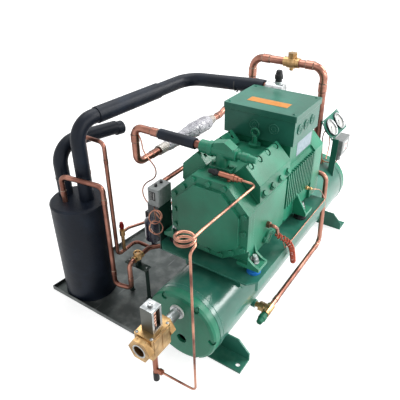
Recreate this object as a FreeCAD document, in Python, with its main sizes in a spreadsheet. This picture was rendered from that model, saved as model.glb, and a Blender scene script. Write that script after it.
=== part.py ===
import FreeCAD, Part
import Sketcher
import math
import os
import re

# Water-cooled condensing unit. A shell-and-tube condenser on two feet carries
# a semi-hermetic piston compressor on a rail, and a tray beside it carries the
# accumulator, the oil separator and the liquid line.
# +Z is up, +Y runs along the condenser away from the water valve, and the
# origin is on the floor, in the middle of the four foot holes.

doc = FreeCAD.newDocument("condensing_unit")
sheet = doc.addObject("Spreadsheet::Sheet", "Sizes")
vector = FreeCAD.Vector
turn = FreeCAD.Rotation

# Where the local +Z axis of a turned piece points once it is placed
up = turn()
front = turn(vector(1, 0, 0), 90)
back = turn(vector(1, 0, 0), -90)
right = turn(vector(0, 1, 0), 90)
left = turn(vector(0, 1, 0), -90)
down = turn(vector(1, 0, 0), 180)

sizes = {
    # Gaps between pieces: curved faces and fitted shafts
    "skin_gap": 0.3,
    "fit_gap": 0.05,
    # Condenser: steel pipe of 219 mm with bolted cast water boxes
    "shell_radius": 109.5,
    "shell_wall": 6.0,
    "shell_half": 460.0,
    "shell_height": 151.0,
    "sheet_thick": 14.5,
    "tube_radius": 9.5,
    "tube_wall": 1.5,
    "tube_ring": 50.0,
    "box_depth": 28.5,
    "box_wall": 10.0,
    "box_rim": 20.0,
    "box_round": 10.0,
    "box_bolt_ring": 99.0,
    "box_bolt_seat": 11.0,
    "box_bolt_recess": 9.5,
    "rib_thick": 8.0,
    "port_radius": 15.0,
    "inlet_x": -7.0,
    "inlet_rise": 54.0,
    "outlet_x": 3.0,
    "outlet_drop": 43.0,
    "liquid_y": -267.0,
    "liquid_drop": 51.0,
    "gas_inlet_x": -5.0,
    "gas_inlet_y": 424.0,
    # Feet, folded from plate
    "foot_hole_x": 137.5,
    "foot_hole_y": 420.0,
    "foot_hole_radius": 7.0,
    "foot_half": 156.0,
    "foot_plate": 5.0,
    "foot_inner_y": 384.5,
    "foot_depth": 57.0,
    "foot_web_height": 65.0,
    "foot_web_top_half": 120.0,
    "foot_web_low": 28.0,
    # Compressor rail and its saddles
    "rail_rise": 29.5,
    "rail_half": 157.0,
    "rail_front_y": -372.0,
    "rail_nose": 25.0,
    "rail_nose_inset": 22.0,
    "rail_back_y": 112.0,
    "rail_plate": 5.0,
    "rail_lip": 30.0,
    "saddle_thick": 8.0,
    "saddle_half": 92.0,
    "saddle_drop": 66.0,
    # Rubber dampers between the rail and the compressor's feet
    "damper_x": 127.0,
    "damper_front_y": -340.0,
    "damper_back_y": -34.0,
    "damper_radius": 19.0,
    "damper_height": 22.0,
    "damper_groove": 2.5,
    "damper_rim": 5.0,
    "stud_radius": 6.0,
    "stud_gap": 0.3,
    "stud_over": 22.0,
    "stud_under": 12.0,
    "nut_radius": 11.0,
    "nut_height": 10.0,
    "washer_radius": 13.0,
    "washer_thick": 2.5,
    # Drip tray of thin sheet
    "tray_left": -549.0,
    "tray_left_back": -458.0,
    "tray_right": -160.0,
    "tray_front_y": -497.0,
    "tray_back_y": 470.0,
    "tray_sheet": 2.0,
    "tray_lip": 15.0,
    "tray_tab_reach": 40.0,
    "tray_tab_half": 19.0,
    # Compressor casting, measured from the crank axis
    "crank_rise": 115.0,
    "case_half": 117.0,
    "case_chamfer": 50.0,
    "case_top": 113.0,
    "case_low": 113.0,
    "case_low_half": 45.0,
    "case_hip": 64.0,
    "body_hip": 103.0,
    "body_low_half": 100.0,
    "case_inset": 2.5,
    "cover_front_y": -366.5,
    "cover_thick": 15.0,
    "flange_depth": 16.0,
    "case_back_y": -118.0,
    "motor_low": 115.0,
    "motor_bottom": 122.0,
    "motor_bottom_half": 104.0,
    "motor_shoulder": 54.0,
    "motor_top": 99.0,
    "motor_top_half": 72.0,
    "motor_back_y": 104.0,
    "motor_plain_y": 54.0,
    "motor_bore": 90.0,
    "chamber_radius": 62.0,
    "chamber_back_y": -140.0,
    "neck_half": 100.0,
    "neck_front_y": -106.0,
    "neck_back_y": 58.0,
    "fin_count": 14.0,
    "fin_first_y": -136.5,
    "fin_pitch": 14.0,
    "fin_thick": 5.0,
    "fin_depth": 9.0,
    "fin_low": 56.0,
    "fin_high": 52.0,
    "fin_clear": 7.0,
    "lug_reach": 152.0,
    "lug_half": 24.0,
    "lug_thick": 10.0,
    "lug_web": 7.0,
    "lug_web_rise": 60.0,
    "lug_flare": 18.0,
    # Bearing cover and motor cover
    "panel_raise": 8.0,
    "panel_inset": 24.0,
    "journal_radius": 18.0,
    "journal_depth": 9.0,
    "motor_cover_thick": 14.0,
    "motor_cover_dish": 8.0,
    # Hexagon bolts
    "bolt_radius": 4.0,
    "bolt_gap": 0.2,
    "bolt_head_radius": 7.5,
    "bolt_head_height": 5.5,
    "bolt_grip": 8.0,
    "cover_bolt_inset": 13.0,
    # Cylinder heads on two banks at 45 degrees
    "bank_y": -225.0,
    "plate_thick": 7.5,
    "head_thick": 34.5,
    "head_inner": 55.0,
    "head_outer": 42.0,
    "head_top_outer": 8.0,
    "head_long": 175.0,
    "head_wall": 16.0,
    "head_cavity": 20.0,
    "head_notch": 10.0,
    "head_seat": 10.0,
    "head_bolt_inner": 46.0,
    "head_bolt_outer": 31.0,
    "head_bolt_pitch": 46.0,
    "head_round": 3.0,
    "bore_radius": 25.0,
    "bore_pitch": 86.0,
    "bore_depth": 66.0,
    "piston_gap": 0.06,
    "piston_length": 30.0,
    "piston_wall": 5.0,
    "crank_throw": 16.0,
    "deck_gap": 1.3,
    # Crankshaft and motor
    "pin_radius": 13.0,
    "pin_length": 44.0,
    "cheek_radius": 31.0,
    "cheek_thick": 11.0,
    "rotor_radius": 50.0,
    "rotor_length": 110.0,
    "rotor_y": -8.0,
    "air_gap": 0.8,
    "shaft_radius": 16.0,
    "winding_length": 22.0,
    "winding_inner": 60.0,
    "winding_outer": 84.0,
    # Discharge valve and its spindle cap
    "discharge_y": -300.0,
    "discharge_rise": 163.0,
    "discharge_barrel": 17.0,
    "discharge_neck": 19.0,
    "discharge_left": -64.0,
    "discharge_right": 42.0,
    "discharge_seat": 33.0,
    "discharge_pad": 3.0,
    "flange_thick": 9.0,
    "socket_depth": 14.0,
    "spindle_radius": 12.0,
    "spindle_length": 52.0,
    # Suction valve at the motor end
    "suction_x": -40.0,
    "suction_y": 90.0,
    "suction_rise": 206.0,
    "suction_barrel": 20.0,
    "suction_neck": 14.0,
    "suction_left": -78.0,
    "suction_cap_radius": 13.0,
    "suction_cap_length": 34.0,
    # Terminal box on the motor
    "terminal_half": 108.5,
    "terminal_front_y": -113.5,
    "terminal_back_y": 64.0,
    "terminal_rise": 128.0,
    "terminal_height": 88.0,
    "terminal_sheet": 3.0,
    "lid_skirt": 14.0,
    "lid_gap": 0.3,
    "knockout_radius": 14.0,
    "knockout_raise": 1.5,
    # Small parts on the compressor
    "sight_y": -244.0,
    "sight_drop": 86.0,
    "sight_radius": 19.0,
    "sight_lens": 11.0,
    "sight_thick": 7.0,
    "ear_radius": 9.0,
    "fitting_y": -251.0,
    "fitting_drop": 42.0,
    "elbow_radius": 5.0,
    "eye_y": -128.0,
    "eye_rise": 152.0,
    "eye_ring": 10.5,
    "eye_wire": 3.5,
    "eye_stem": 7.0,
    "eye_collar": 17.0,
    "service_x": 44.0,
    "service_y": -343.0,
    "service_rise": 125.0,
    "service_radius": 8.0,
    # Copper pipes and foam-covered lines
    "gas_pipe": 11.1,
    "pipe_wall": 1.2,
    "gas_x": -291.0,
    "gas_low": 475.0,
    "gas_bend": 28.0,
    "sleeve_radius": 15.0,
    "sleeve_near": -82.0,
    "sleeve_far": -198.0,
    "absorber_front_y": -200.0,
    "absorber_back_y": 112.0,
    "absorber_radius": 22.0,
    "absorber_neck": 16.0,
    "separator_x": -290.0,
    "separator_y": 400.0,
    "separator_radius": 46.0,
    "separator_top": 538.0,
    "separator_disc": 6.0,
    "separator_port": 500.0,
    "hot_pipe": 14.3,
    "hot_gas_z": 633.0,
    "hot_bend": 45.0,
    "check_x": -131.0,
    "check_half": 30.0,
    "check_radius": 21.0,
    "foam_radius": 22.0,
    "foam_gap": 0.3,
    "foam_bend": 62.0,
    "accumulator_x": -452.0,
    "accumulator_y": -408.0,
    "accumulator_radius": 84.0,
    "accumulator_top": 355.0,
    "accumulator_foam": 13.0,
    "accumulator_rim": 5.0,
    "liquid_pipe": 8.0,
    "liquid_x": 150.0,
    "liquid_rear_y": 138.0,
    "liquid_high": 365.0,
    "liquid_bend": 26.0,
    "arch_pipe": 6.35,
    "branch_pipe": 5.0,
    # Liquid line parts on the tray
    "stand_x": -281.0,
    "stand_y": -350.0,
    "stand_height": 128.0,
    "stand_spread": 37.0,
    "stand_wide": 14.0,
    "drier_x": -285.0,
    "drier_y": -258.0,
    "drier_low": 172.0,
    "drier_high": 258.0,
    "drier_radius": 27.0,
    "drier_neck": 9.5,
    "drier_neck_long": 16.0,
    "arch_x": -368.0,
    "arch_y": -350.0,
    "arch_low": 131.0,
    "arch_high": 540.0,
    "charge_y": -318.0,
    "charge_branch": 205.0,
    "charge_radius": 9.0,
    "solenoid_y": -192.0,
    "glass_x": -278.0,
    "glass_y": -350.0,
    "glass_z": 163.0,
    "glass_radius": 14.0,
    "outlet_end_y": 236.0,
    # Pressure controls
    "control_left": -192.0,
    "control_front_y": -375.0,
    "control_back_y": -318.0,
    "control_bottom": 407.0,
    "control_top": 461.0,
    "control_sheet": 1.5,
    "bracket_sheet": 3.0,
    "bracket_low": 262.0,
    # Gauge panel, tilted back over the condenser
    "panel_near_y": 400.0,
    "panel_long": 167.0,
    "panel_top_x": 12.5,
    "panel_top_z": 432.0,
    "panel_wide": 82.0,
    "panel_sheet": 2.5,
    "panel_tilt": 52.0,
    "post_wide": 23.0,
    "post_sheet": 3.0,
    "gauge_rim": 33.0,
    "gauge_can": 29.0,
    "gauge_behind": 14.0,
    "gauge_front": 7.0,
    "gauge_pitch": 80.0,
    "dial_drop": 6.0,
    "pointer_length": 20.0,
    "pointer_thick": 1.0,
    "pivot_radius": 1.5,
    "switch_deep": 36.0,
    "switch_long": 82.0,
    "switch_low": 312.0,
    "switch_high": 371.0,
    # Water regulating valve
    "valve_near": 52.0,
    "valve_long": 104.0,
    "valve_block_half": 28.0,
    "valve_block_long": 37.0,
    "valve_bore": 13.0,
    "valve_socket": 16.5,
    "valve_socket_deep": 20.0,
    "valve_hex": 34.0,
    "valve_hex_long": 18.0,
    "valve_stem_reach": 50.0,
    "valve_up": 34.0,
    "valve_down": 50.0,
    "valve_boss": 16.0,
    "housing_half": 18.0,
    "housing_tall": 72.0,
    "housing_sheet": 3.0,
    "spring_radius": 10.0,
    "spring_wire": 2.0,
    "spring_turns": 5.0,
    "stem_radius": 4.0,
    "valve_travel": 8.0,
    "screw_radius": 7.0,
    "low_fitting_radius": 7.5,
    "low_fitting_down": 133.0,
    "low_arm_radius": 5.5,
    "low_arm": 24.0,
    "low_nut": 8.0,
    "low_nut_long": 12.0,
    "low_cap_radius": 8.5,
    "low_cap_long": 34.0,
    "housing_window": 11.0,
    "housing_border": 6.0,
    "nipple_wall": 3.0,
    # Capillary from the water valve to the compressor's service valve
    "capillary_radius": 3.0,
    "capillary_x": 118.0,
    "capillary_y": -603.0,
    "capillary_drop": 122.0,
    "capillary_high": 560.0,
    "loop_radius": 20.0,
    "loop_pitch": 12.0,
    # Heater lead: a curly flex with a bare end
    "lead_radius": 8.5,
}

# Heights and reaches that follow from the sizes above
shell_z = "shell_height"
rail_z = "(shell_height + shell_radius + rail_rise)"
lug_z = "(" + rail_z + " + damper_height)"
crank_z = "(" + lug_z + " + crank_rise)"
deck = "((case_top + case_chamfer) * 0.70711 - case_inset)"
case_front_y = "(cover_front_y + cover_thick)"
cap_y = "(shell_half + sheet_thick)"
box_y = "(shell_half + sheet_thick + box_depth)"
inlet_z = "(shell_height + inlet_rise)"
capillary_low = "(" + inlet_z + " - capillary_drop)"
discharge_z = "(" + crank_z + " + discharge_rise)"
suction_z = "(" + crank_z + " + suction_rise)"
service_z = "(" + crank_z + " + service_rise)"
fitting_z = "(" + crank_z + " - fitting_drop)"
elbow_x = "(case_half - case_inset + flange_thick + 14)"
liquid_z = "(shell_height - liquid_drop)"
valve_back = "(-" + box_y + " - valve_near)"
valve_front = "(" + valve_back + " - valve_long)"
stem_y = "(" + valve_back + " - valve_stem_reach)"


def fill_sheet():
    for row, (name, value) in enumerate(sizes.items(), 1):
        sheet.set("A%d" % row, name)
        sheet.set("B%d" % row, str(value))
        sheet.setAlias("B%d" % row, name)
    doc.recompute()


def full(text):
    """The same expression with each size named in its sheet."""
    return re.sub(r"\b([a-z]+_[a-z_]+)\b", r"Sizes.\1", str(text))


def num(text):
    """The value of an expression, in millimetres or degrees."""
    value = sheet.evalExpression(full(text))
    return float(getattr(value, "Value", value))


def bind(thing, prop, text):
    if re.search("[a-z]", str(text)):
        thing.setExpression(prop, full(text))


def point(at):
    return vector(*[num(part) for part in at])


def place(thing, at=("0", "0", "0"), facing=up):
    """Put a piece at a point given by three expressions."""
    thing.Placement = FreeCAD.Placement(point(at), facing)
    for axis, part in zip("xyz", at):
        bind(thing, "Placement.Base." + axis, part)
    return thing


def new_body(label):
    thing = doc.addObject("PartDesign::Body", label)
    thing.Label = label
    return thing


def origin_part(owner, role):
    return [part for part in owner.Origin.OriginFeatures if part.Role == role][0]


def new_sketch(owner, role, offset="0"):
    made = owner.newObject("Sketcher::SketchObject", owner.Name + "_sketch")
    made.AttachmentSupport = (origin_part(owner, role), "")
    made.MapMode = "FlatFace"
    made.AttachmentOffset = FreeCAD.Placement(vector(0, 0, num(offset)), turn())
    bind(made, "AttachmentOffset.Base.z", offset)
    return made


def pin_point(made, edge, end, across, along):
    """Hold one end of an edge at two distances from the sketch's origin."""
    for kind, text in (("DistanceX", across), ("DistanceY", along)):
        made.addConstraint(Sketcher.Constraint(kind, -1, 1, edge, end, num(text)))
        bind(made, "Constraints[%d]" % (made.ConstraintCount - 1), text)


def polygon(made, corners):
    """A closed outline through corners, each a pair of expressions."""
    first = made.GeometryCount
    spots = [vector(num(across), num(along), 0) for across, along in corners]
    count = len(spots)
    for index in range(count):
        made.addGeometry(Part.LineSegment(spots[index], spots[(index + 1) % count]), False)
    for index in range(count):
        after = first + (index + 1) % count
        made.addConstraint(Sketcher.Constraint("Coincident", first + index, 2, after, 1))
    for index, (across, along) in enumerate(corners):
        pin_point(made, first + index, 1, across, along)


def circle(made, across, along, radius):
    """A circle with its centre and radius bound to the sheet."""
    centre = vector(num(across), num(along), 0)
    edge = made.addGeometry(Part.Circle(centre, vector(0, 0, 1), num(radius)), False)
    made.addConstraint(Sketcher.Constraint("Radius", edge, num(radius)))
    bind(made, "Constraints[%d]" % (made.ConstraintCount - 1), radius)
    pin_point(made, edge, 3, across, along)


def draw(made, shapes):
    """Outlines are lists of corners, and circles are (across, along, radius)."""
    for shape in shapes:
        if isinstance(shape, list):
            polygon(made, shape)
        else:
            circle(made, *shape)
    return made


def rect(low_x, low_y, high_x, high_y):
    return [(low_x, low_y), (high_x, low_y), (high_x, high_y), (low_x, high_y)]


def centred(half_x, half_y, across="0", along="0"):
    """A rectangle from its half sizes and its middle."""
    low_x = "(%s) - (%s)" % (across, half_x)
    high_x = "(%s) + (%s)" % (across, half_x)
    low_y = "(%s) - (%s)" % (along, half_y)
    high_y = "(%s) + (%s)" % (along, half_y)
    return rect(low_x, low_y, high_x, high_y)


def extrusion(owner, kind, role, shapes, low, high):
    """A pad or a pocket between two positions along the plane's own axis."""
    flipped = role == "XZ_Plane"
    from_low = (kind == "Pad") != flipped
    offset = low if from_low else high
    if flipped:
        offset = "-(%s)" % offset
    made = owner.newObject("PartDesign::" + kind, owner.Name + "_" + kind.lower())
    made.Profile = draw(new_sketch(owner, role, offset), shapes)
    made.Length = num("(%s) - (%s)" % (high, low))
    bind(made, "Length", "(%s) - (%s)" % (high, low))
    return made


def pad(owner, role, shapes, low, high):
    return extrusion(owner, "Pad", role, shapes, low, high)


def cut(owner, role, shapes, low, high):
    """A pocket that is checked to take something away."""
    doc.recompute()
    before = owner.Shape.Volume
    made = extrusion(owner, "Pocket", role, shapes, low, high)
    doc.recompute()
    if owner.Shape.Volume >= before - 0.001:
        raise RuntimeError(owner.Label + ": a pocket cuts nothing")
    return made


def tilted_cut(owner, shapes, reach, degrees, depth, base=("0", "0")):
    """A pocket along an axis tilted up from +X, from a plane at its reach."""
    doc.recompute()
    before = owner.Shape.Volume
    made = new_sketch(owner, "YZ_Plane")
    rise = "%s + (%s) * sin(%s)" % (base[1], reach, degrees)
    out = "%s + (%s) * cos(%s)" % (base[0], reach, degrees)
    lean = turn(vector(1, 0, 0), -num(degrees))
    made.AttachmentOffset = FreeCAD.Placement(vector(0, num(rise), num(out)), lean)
    bind(made, "AttachmentOffset.Base.y", rise)
    bind(made, "AttachmentOffset.Base.z", out)
    draw(made, shapes)
    pocket = owner.newObject("PartDesign::Pocket", owner.Name + "_bore")
    pocket.Profile = made
    pocket.Length = num(depth)
    bind(pocket, "Length", depth)
    doc.recompute()
    if owner.Shape.Volume >= before - 0.001:
        raise RuntimeError(owner.Label + ": a tilted pocket cuts nothing")
    return pocket


def turned(label, profile, at, facing=up):
    """A turned piece: the profile holds (radius, height) pairs."""
    made = new_body(label)
    outline = draw(new_sketch(made, "XZ_Plane"), [profile])
    spin = made.newObject("PartDesign::Revolution", label + "_turned")
    spin.Profile = outline
    spin.ReferenceAxis = (outline, ["V_Axis"])
    spin.Angle = 360
    return place(made, at, facing)


def rounded(owner, picker, radius):
    """Round the edges of the body that the picker accepts."""
    doc.recompute()
    names = ["Edge%d" % (index + 1) for index, edge in enumerate(owner.Shape.Edges) if picker(edge)]
    last = owner.Tip
    made = owner.newObject("PartDesign::Fillet", owner.Name + "_round")
    made.Base = (last, names)
    made.Radius = num(radius)
    bind(made, "Radius", radius)
    return made


def row_of(owner, feature, count, pitch):
    """The same feature again and again along Y."""
    row = owner.newObject("PartDesign::LinearPattern", feature.Name + "_row")
    row.Originals = [feature]
    row.Direction = (origin_part(owner, "Y_Axis"), [""])
    row.Length = num("(%s - 1) * %s" % (count, pitch))
    bind(row, "Length", "(%s - 1) * %s" % (count, pitch))
    row.Occurrences = int(num(count))
    bind(row, "Occurrences", count)
    owner.Tip = row
    return row


def straight(edge, axis):
    """True for a straight edge along the axis."""
    if edge.Curve.TypeId != "Part::GeomLine":
        return False
    return abs(edge.tangentAt(edge.FirstParameter).dot(axis)) > 0.999


def ready(label, solids):
    """A node made of ready solids, whose sizes were read out of the sheet."""
    made = doc.addObject("Part::Feature", label)
    made.Label = label
    made.Shape = solids[0] if len(solids) == 1 else Part.makeCompound(solids)
    return made


def group(label, members):
    """One node that holds several pieces of a kind, each a solid of its own."""
    made = doc.addObject("Part::Compound", label)
    made.Label = label
    made.Links = members
    return made


def drum(radius, length, at, axis):
    return Part.makeCylinder(num(radius), num(length), at, axis)


def hexagon(radius, height, at, axis):
    """A hexagonal prism with its corners on the given radius."""
    start = vector(0, 0, 1) if abs(axis.z) < 0.9 else vector(1, 0, 0)
    start = (start - axis * start.dot(axis)).normalize() * radius
    corners = [at + turn(axis, 60 * step).multVec(start) for step in range(7)]
    return Part.Face(Part.makePolygon(corners)).extrude(axis * height)


def bolt_head(at, axis):
    return hexagon(num("bolt_head_radius"), num("bolt_head_height"), at, axis)


def lathe(profile, at, axis):
    """A turned solid with its own Z axis laid along the given one."""
    corners = [vector(num(across), 0, num(along)) for across, along in profile]
    made = Part.Face(Part.makePolygon(corners + corners[:1])).revolve(vector(), vector(0, 0, 1), 360)
    made.Placement = FreeCAD.Placement(at, turn(vector(0, 0, 1), axis))
    return made


def path_wire(points, bend):
    """Straight runs joined by tangent arcs of one bend radius."""
    edges = []
    last = points[0]
    for index in range(1, len(points) - 1):
        corner = points[index]
        into = (corner - points[index - 1]).normalize()
        away = (points[index + 1] - corner).normalize()
        half = into.getAngle(away) / 2
        setback = bend * math.tan(half)
        start = corner - into * setback
        end = corner + away * setback
        bisector = (away - into).normalize()
        middle = corner + bisector * (bend / math.cos(half) - bend)
        if last.distanceToPoint(start) > 0.01:
            edges.append(Part.LineSegment(last, start).toShape())
        edges.append(Part.Arc(start, middle, end).toShape())
        last = end
    edges.append(Part.LineSegment(last, points[-1]).toShape())
    return Part.Wire(edges)


def swept(wire, radius):
    first = wire.Edges[0]
    start = first.valueAt(first.FirstParameter)
    heading = first.tangentAt(first.FirstParameter)
    rim = Part.Wire([Part.Circle(start, heading, radius).toShape()])
    return wire.makePipeShell([rim], True, False)


def checked_sweep(wire, radius):
    """A sweep whose volume is its section times its length."""
    made = swept(wire, radius)
    expected = math.pi * radius ** 2 * wire.Length
    if abs(made.Volume - expected) > 0.01 * expected:
        raise RuntimeError("a tube has not the volume of its section times its length")
    return made


def bent_tube(stops, radius, bend, bore="0"):
    """A bent tube along stops, open through its middle where bore is set."""
    wire = path_wire([point(stop) for stop in stops], num(bend))
    made = checked_sweep(wire, num(radius))
    if num(bore) > 0:
        made = made.cut(checked_sweep(wire, num(bore)))
    return made


def pipe(label, stops, radius, bend):
    """A copper pipe in a node of its own."""
    return ready(label, [bent_tube(stops, radius, bend, "(%s) - pipe_wall" % radius)])


def spread(corners, inset, longest):
    """Bolt centres set in from an outline's corners, and between far ones."""
    points = [vector(num(across), 0, num(along)) for across, along in corners]
    moved = [spot - vector(spot).normalize() * inset for spot in points]
    centres = []
    crowded = 3 * num("bolt_head_radius")
    for index, spot in enumerate(moved):
        after = moved[(index + 1) % len(moved)]
        if spot.distanceToPoint(after) < crowded:
            continue
        centres.append(spot)
        if spot.distanceToPoint(after) > longest:
            centres.append((spot + after) * 0.5)
    return centres


def case_outline(inset="0", hip_drop="case_hip", foot="case_low_half"):
    """The crankcase's octagon, measured from the crank axis."""
    side = "case_half - (%s)" % inset
    top = "case_top - (%s)" % inset
    low = "-(case_low - (%s))" % inset
    bevel = "(%s) * 0.4142" % inset
    shoulder = "case_top + case_chamfer - case_half - " + bevel
    chamfer = "case_chamfer - " + bevel
    hip = "-(%s - %s)" % (hip_drop, bevel)
    foot_x = "%s - %s" % (foot, bevel)
    return [
        (side, hip), (side, shoulder), (chamfer, top), ("-(%s)" % chamfer, top),
        ("-(%s)" % side, shoulder), ("-(%s)" % side, hip), ("-(%s)" % foot_x, low), (foot_x, low),
    ]


def motor_outline(inset="0"):
    side = "case_half - (%s)" % inset
    high = "motor_top - (%s) * 0.5" % inset
    return [
        (side, "-motor_low"), (side, "motor_shoulder"), ("motor_top_half", high),
        ("-motor_top_half", high), ("-(%s)" % side, "motor_shoulder"), ("-(%s)" % side, "-motor_low"),
        ("-motor_bottom_half", "-motor_bottom"), ("motor_bottom_half", "-motor_bottom"),
    ]


# Condenser

def tube_centres():
    """The middle tube and the six round it, as pairs for a sketch."""
    centres = [("0", "0")]
    for step in range(6):
        centres.append(("tube_ring * cos(%d)" % (60 * step), "tube_ring * sin(%d)" % (60 * step)))
    return centres


def box_bolt_centres():
    centres = []
    for step in range(6):
        angle = 60 * step
        centres.append(("box_bolt_ring * cos(%d)" % angle, "box_bolt_ring * sin(%d)" % angle))
    return centres


def condenser_shell():
    shell = new_body("condenser_shell")
    rings = [("0", "0", "shell_radius"), ("0", "0", "shell_radius - shell_wall")]
    pad(shell, "XZ_Plane", rings, "-shell_half", "shell_half")
    liquid = ("liquid_y", "-liquid_drop", "liquid_pipe + skin_gap")
    cut(shell, "YZ_Plane", [liquid], "shell_radius * 0.5", "shell_radius")
    gas = ("gas_inlet_x", "gas_inlet_y", "hot_pipe + skin_gap")
    cut(shell, "XY_Plane", [gas], "shell_radius * 0.5", "shell_radius")
    return place(shell, ("0", "0", shell_z))


def tube_sheet(label, low, high):
    plate = new_body(label)
    holes = [(across, along, "tube_radius + skin_gap") for across, along in tube_centres()]
    pad(plate, "XZ_Plane", [("0", "0", "shell_radius + 1")] + holes, low, high)
    return place(plate, ("0", "0", shell_z))


def condenser_tubes():
    """The copper tubes that carry the water through the shell."""
    tubes = []
    reach = num(cap_y)
    along_y = vector(0, 1, 0)
    for across, along in tube_centres():
        start = point((across, "-" + cap_y, shell_z + " + " + along))
        outer = Part.makeCylinder(num("tube_radius"), 2 * reach, start, along_y)
        tubes.append(outer.cut(Part.makeCylinder(num("tube_radius - tube_wall"), 2 * reach, start, along_y)))
    return ready("condenser_tubes", tubes)


def water_box(label, ports, facing):
    """A cast water box: a dish with a partition, bolted over the tube sheet."""
    floor = "box_depth - box_wall"
    profile = [
        ("shell_radius - box_rim", "0"), ("shell_radius", "0"), ("shell_radius", "box_depth - box_round"),
        ("shell_radius - box_round * 0.3", "box_depth - box_round * 0.3"),
        ("shell_radius - box_round", "box_depth"), ("0", "box_depth"), ("0", floor),
        ("shell_radius - box_rim", floor),
    ]
    dish = turned(label, profile, ("0", "0", "0"))
    rib = centred("shell_radius - box_rim + 1", "rib_thick * 0.5")
    pad(dish, "XY_Plane", [rib], "0", floor + " + 1")
    seats = [(across, along, "box_bolt_recess") for across, along in box_bolt_centres()]
    cut(dish, "XY_Plane", seats, "box_bolt_seat", "box_depth")
    if ports:
        cut(dish, "XY_Plane", ports, floor, "box_depth")
    side = "-" if facing is front else ""
    return place(dish, ("0", side + cap_y, shell_z), facing)


def water_box_bolts():
    bolts = []
    for side in (-1, 1):
        for across, along in box_bolt_centres():
            middle = point((across, "0", along))
            seat = num(cap_y + " + box_bolt_seat")
            at = vector(middle.x, side * seat, num(shell_z) + middle.z)
            bolts.append(bolt_head(at, vector(0, side, 0)))
    return ready("water_box_bolts", bolts)


def foot(label, facing):
    """A folded foot: a flange on the floor and a web cut to the shell."""
    plate = new_body(label)
    outer_y = "-(foot_inner_y + foot_depth)"
    holes = [(side + "foot_hole_x", "-foot_hole_y", "foot_hole_radius") for side in ("", "-")]
    flange = rect("-foot_half", outer_y, "foot_half", "-foot_inner_y")
    pad(plate, "XY_Plane", [flange] + holes, "0", "foot_plate")
    web = [
        ("-foot_half", "0"), ("foot_half", "0"), ("foot_half", "foot_web_low"),
        ("foot_web_top_half", "foot_web_height"), ("-foot_web_top_half", "foot_web_height"),
        ("-foot_half", "foot_web_low"),
    ]
    pad(plate, "XZ_Plane", [web], "-(foot_inner_y + foot_plate)", "-foot_inner_y")
    saddle = ("0", shell_z, "shell_radius + skin_gap")
    cut(plate, "XZ_Plane", [saddle], "-(foot_inner_y + foot_plate)", "-foot_inner_y")
    return place(plate, ("0", "0", "0"), facing)


# Rail, saddles and dampers

def mounting_rail():
    """A channel with its edges folded down and its nose cut back."""
    rail = new_body("mounting_rail")
    nose = "rail_front_y - rail_nose"
    outline = [
        ("-rail_half", "rail_back_y"), ("-rail_half", "rail_front_y"), ("-rail_half + rail_nose_inset", nose),
        ("rail_half - rail_nose_inset", nose), ("rail_half", "rail_front_y"), ("rail_half", "rail_back_y"),
    ]
    holes = []
    for side in ("", "-"):
        for row in ("damper_front_y", "damper_back_y"):
            holes.append((side + "damper_x", row, "stud_radius + stud_gap"))
    pad(rail, "XY_Plane", [outline], "-rail_lip", "0")
    within = rect("-rail_half + rail_plate", nose + " - 1", "rail_half - rail_plate", "rail_back_y + 1")
    cut(rail, "XY_Plane", [within], "-rail_lip", "-rail_plate")
    cut(rail, "XY_Plane", holes, "-rail_plate", "0")
    return place(rail, ("0", "0", rail_z))


def rail_saddle(label, middle_y):
    plate = new_body(label)
    outline = rect("-saddle_half", "saddle_drop", "saddle_half", "shell_radius + rail_rise - rail_plate")
    pad(plate, "XZ_Plane", [outline], "-saddle_thick * 0.5", "saddle_thick * 0.5")
    seat = ("0", "0", "shell_radius + skin_gap")
    cut(plate, "XZ_Plane", [seat], "-saddle_thick * 0.5", "saddle_thick * 0.5")
    return place(plate, ("0", middle_y, shell_z))


def dampers(label, row):
    """A pair of waisted rubber mounts under the compressor's feet."""
    waist = "damper_radius - damper_groove"
    hole = "stud_radius + stud_gap"
    profile = [
        (hole, "0"), ("damper_radius", "0"), ("damper_radius", "damper_rim"), (waist, "damper_rim + 2"),
        (waist, "damper_height - damper_rim - 2"), ("damper_radius", "damper_height - damper_rim"),
        ("damper_radius", "damper_height"), (hole, "damper_height"),
    ]
    made = []
    for side in ("-", ""):
        made.append(lathe(profile, point((side + "damper_x", row, rail_z)), vector(0, 0, 1)))
    return ready(label, made)


def damper_bolts():
    """Studs through the rail and the feet, each with nuts and a washer."""
    made = []
    axis = vector(0, 0, 1)
    length = "stud_under + rail_plate + damper_height + lug_thick + stud_over"
    for side in ("-", ""):
        for row in ("damper_front_y", "damper_back_y"):
            low = point((side + "damper_x", row, rail_z + " - rail_plate - stud_under"))
            seat = point((side + "damper_x", row, lug_z + " + lug_thick"))
            under = point((side + "damper_x", row, rail_z + " - rail_plate - nut_height"))
            stud = drum("stud_radius", length, low, axis)
            washer = drum("washer_radius", "washer_thick", seat, axis)
            nut = hexagon(num("nut_radius"), num("nut_height"), seat + axis * num("washer_thick"), axis)
            lower = hexagon(num("nut_radius"), num("nut_height"), under, axis)
            made.append(stud.fuse([washer, nut, lower]).removeSplitter())
    return ready("damper_bolts", made)


# Tray

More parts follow.
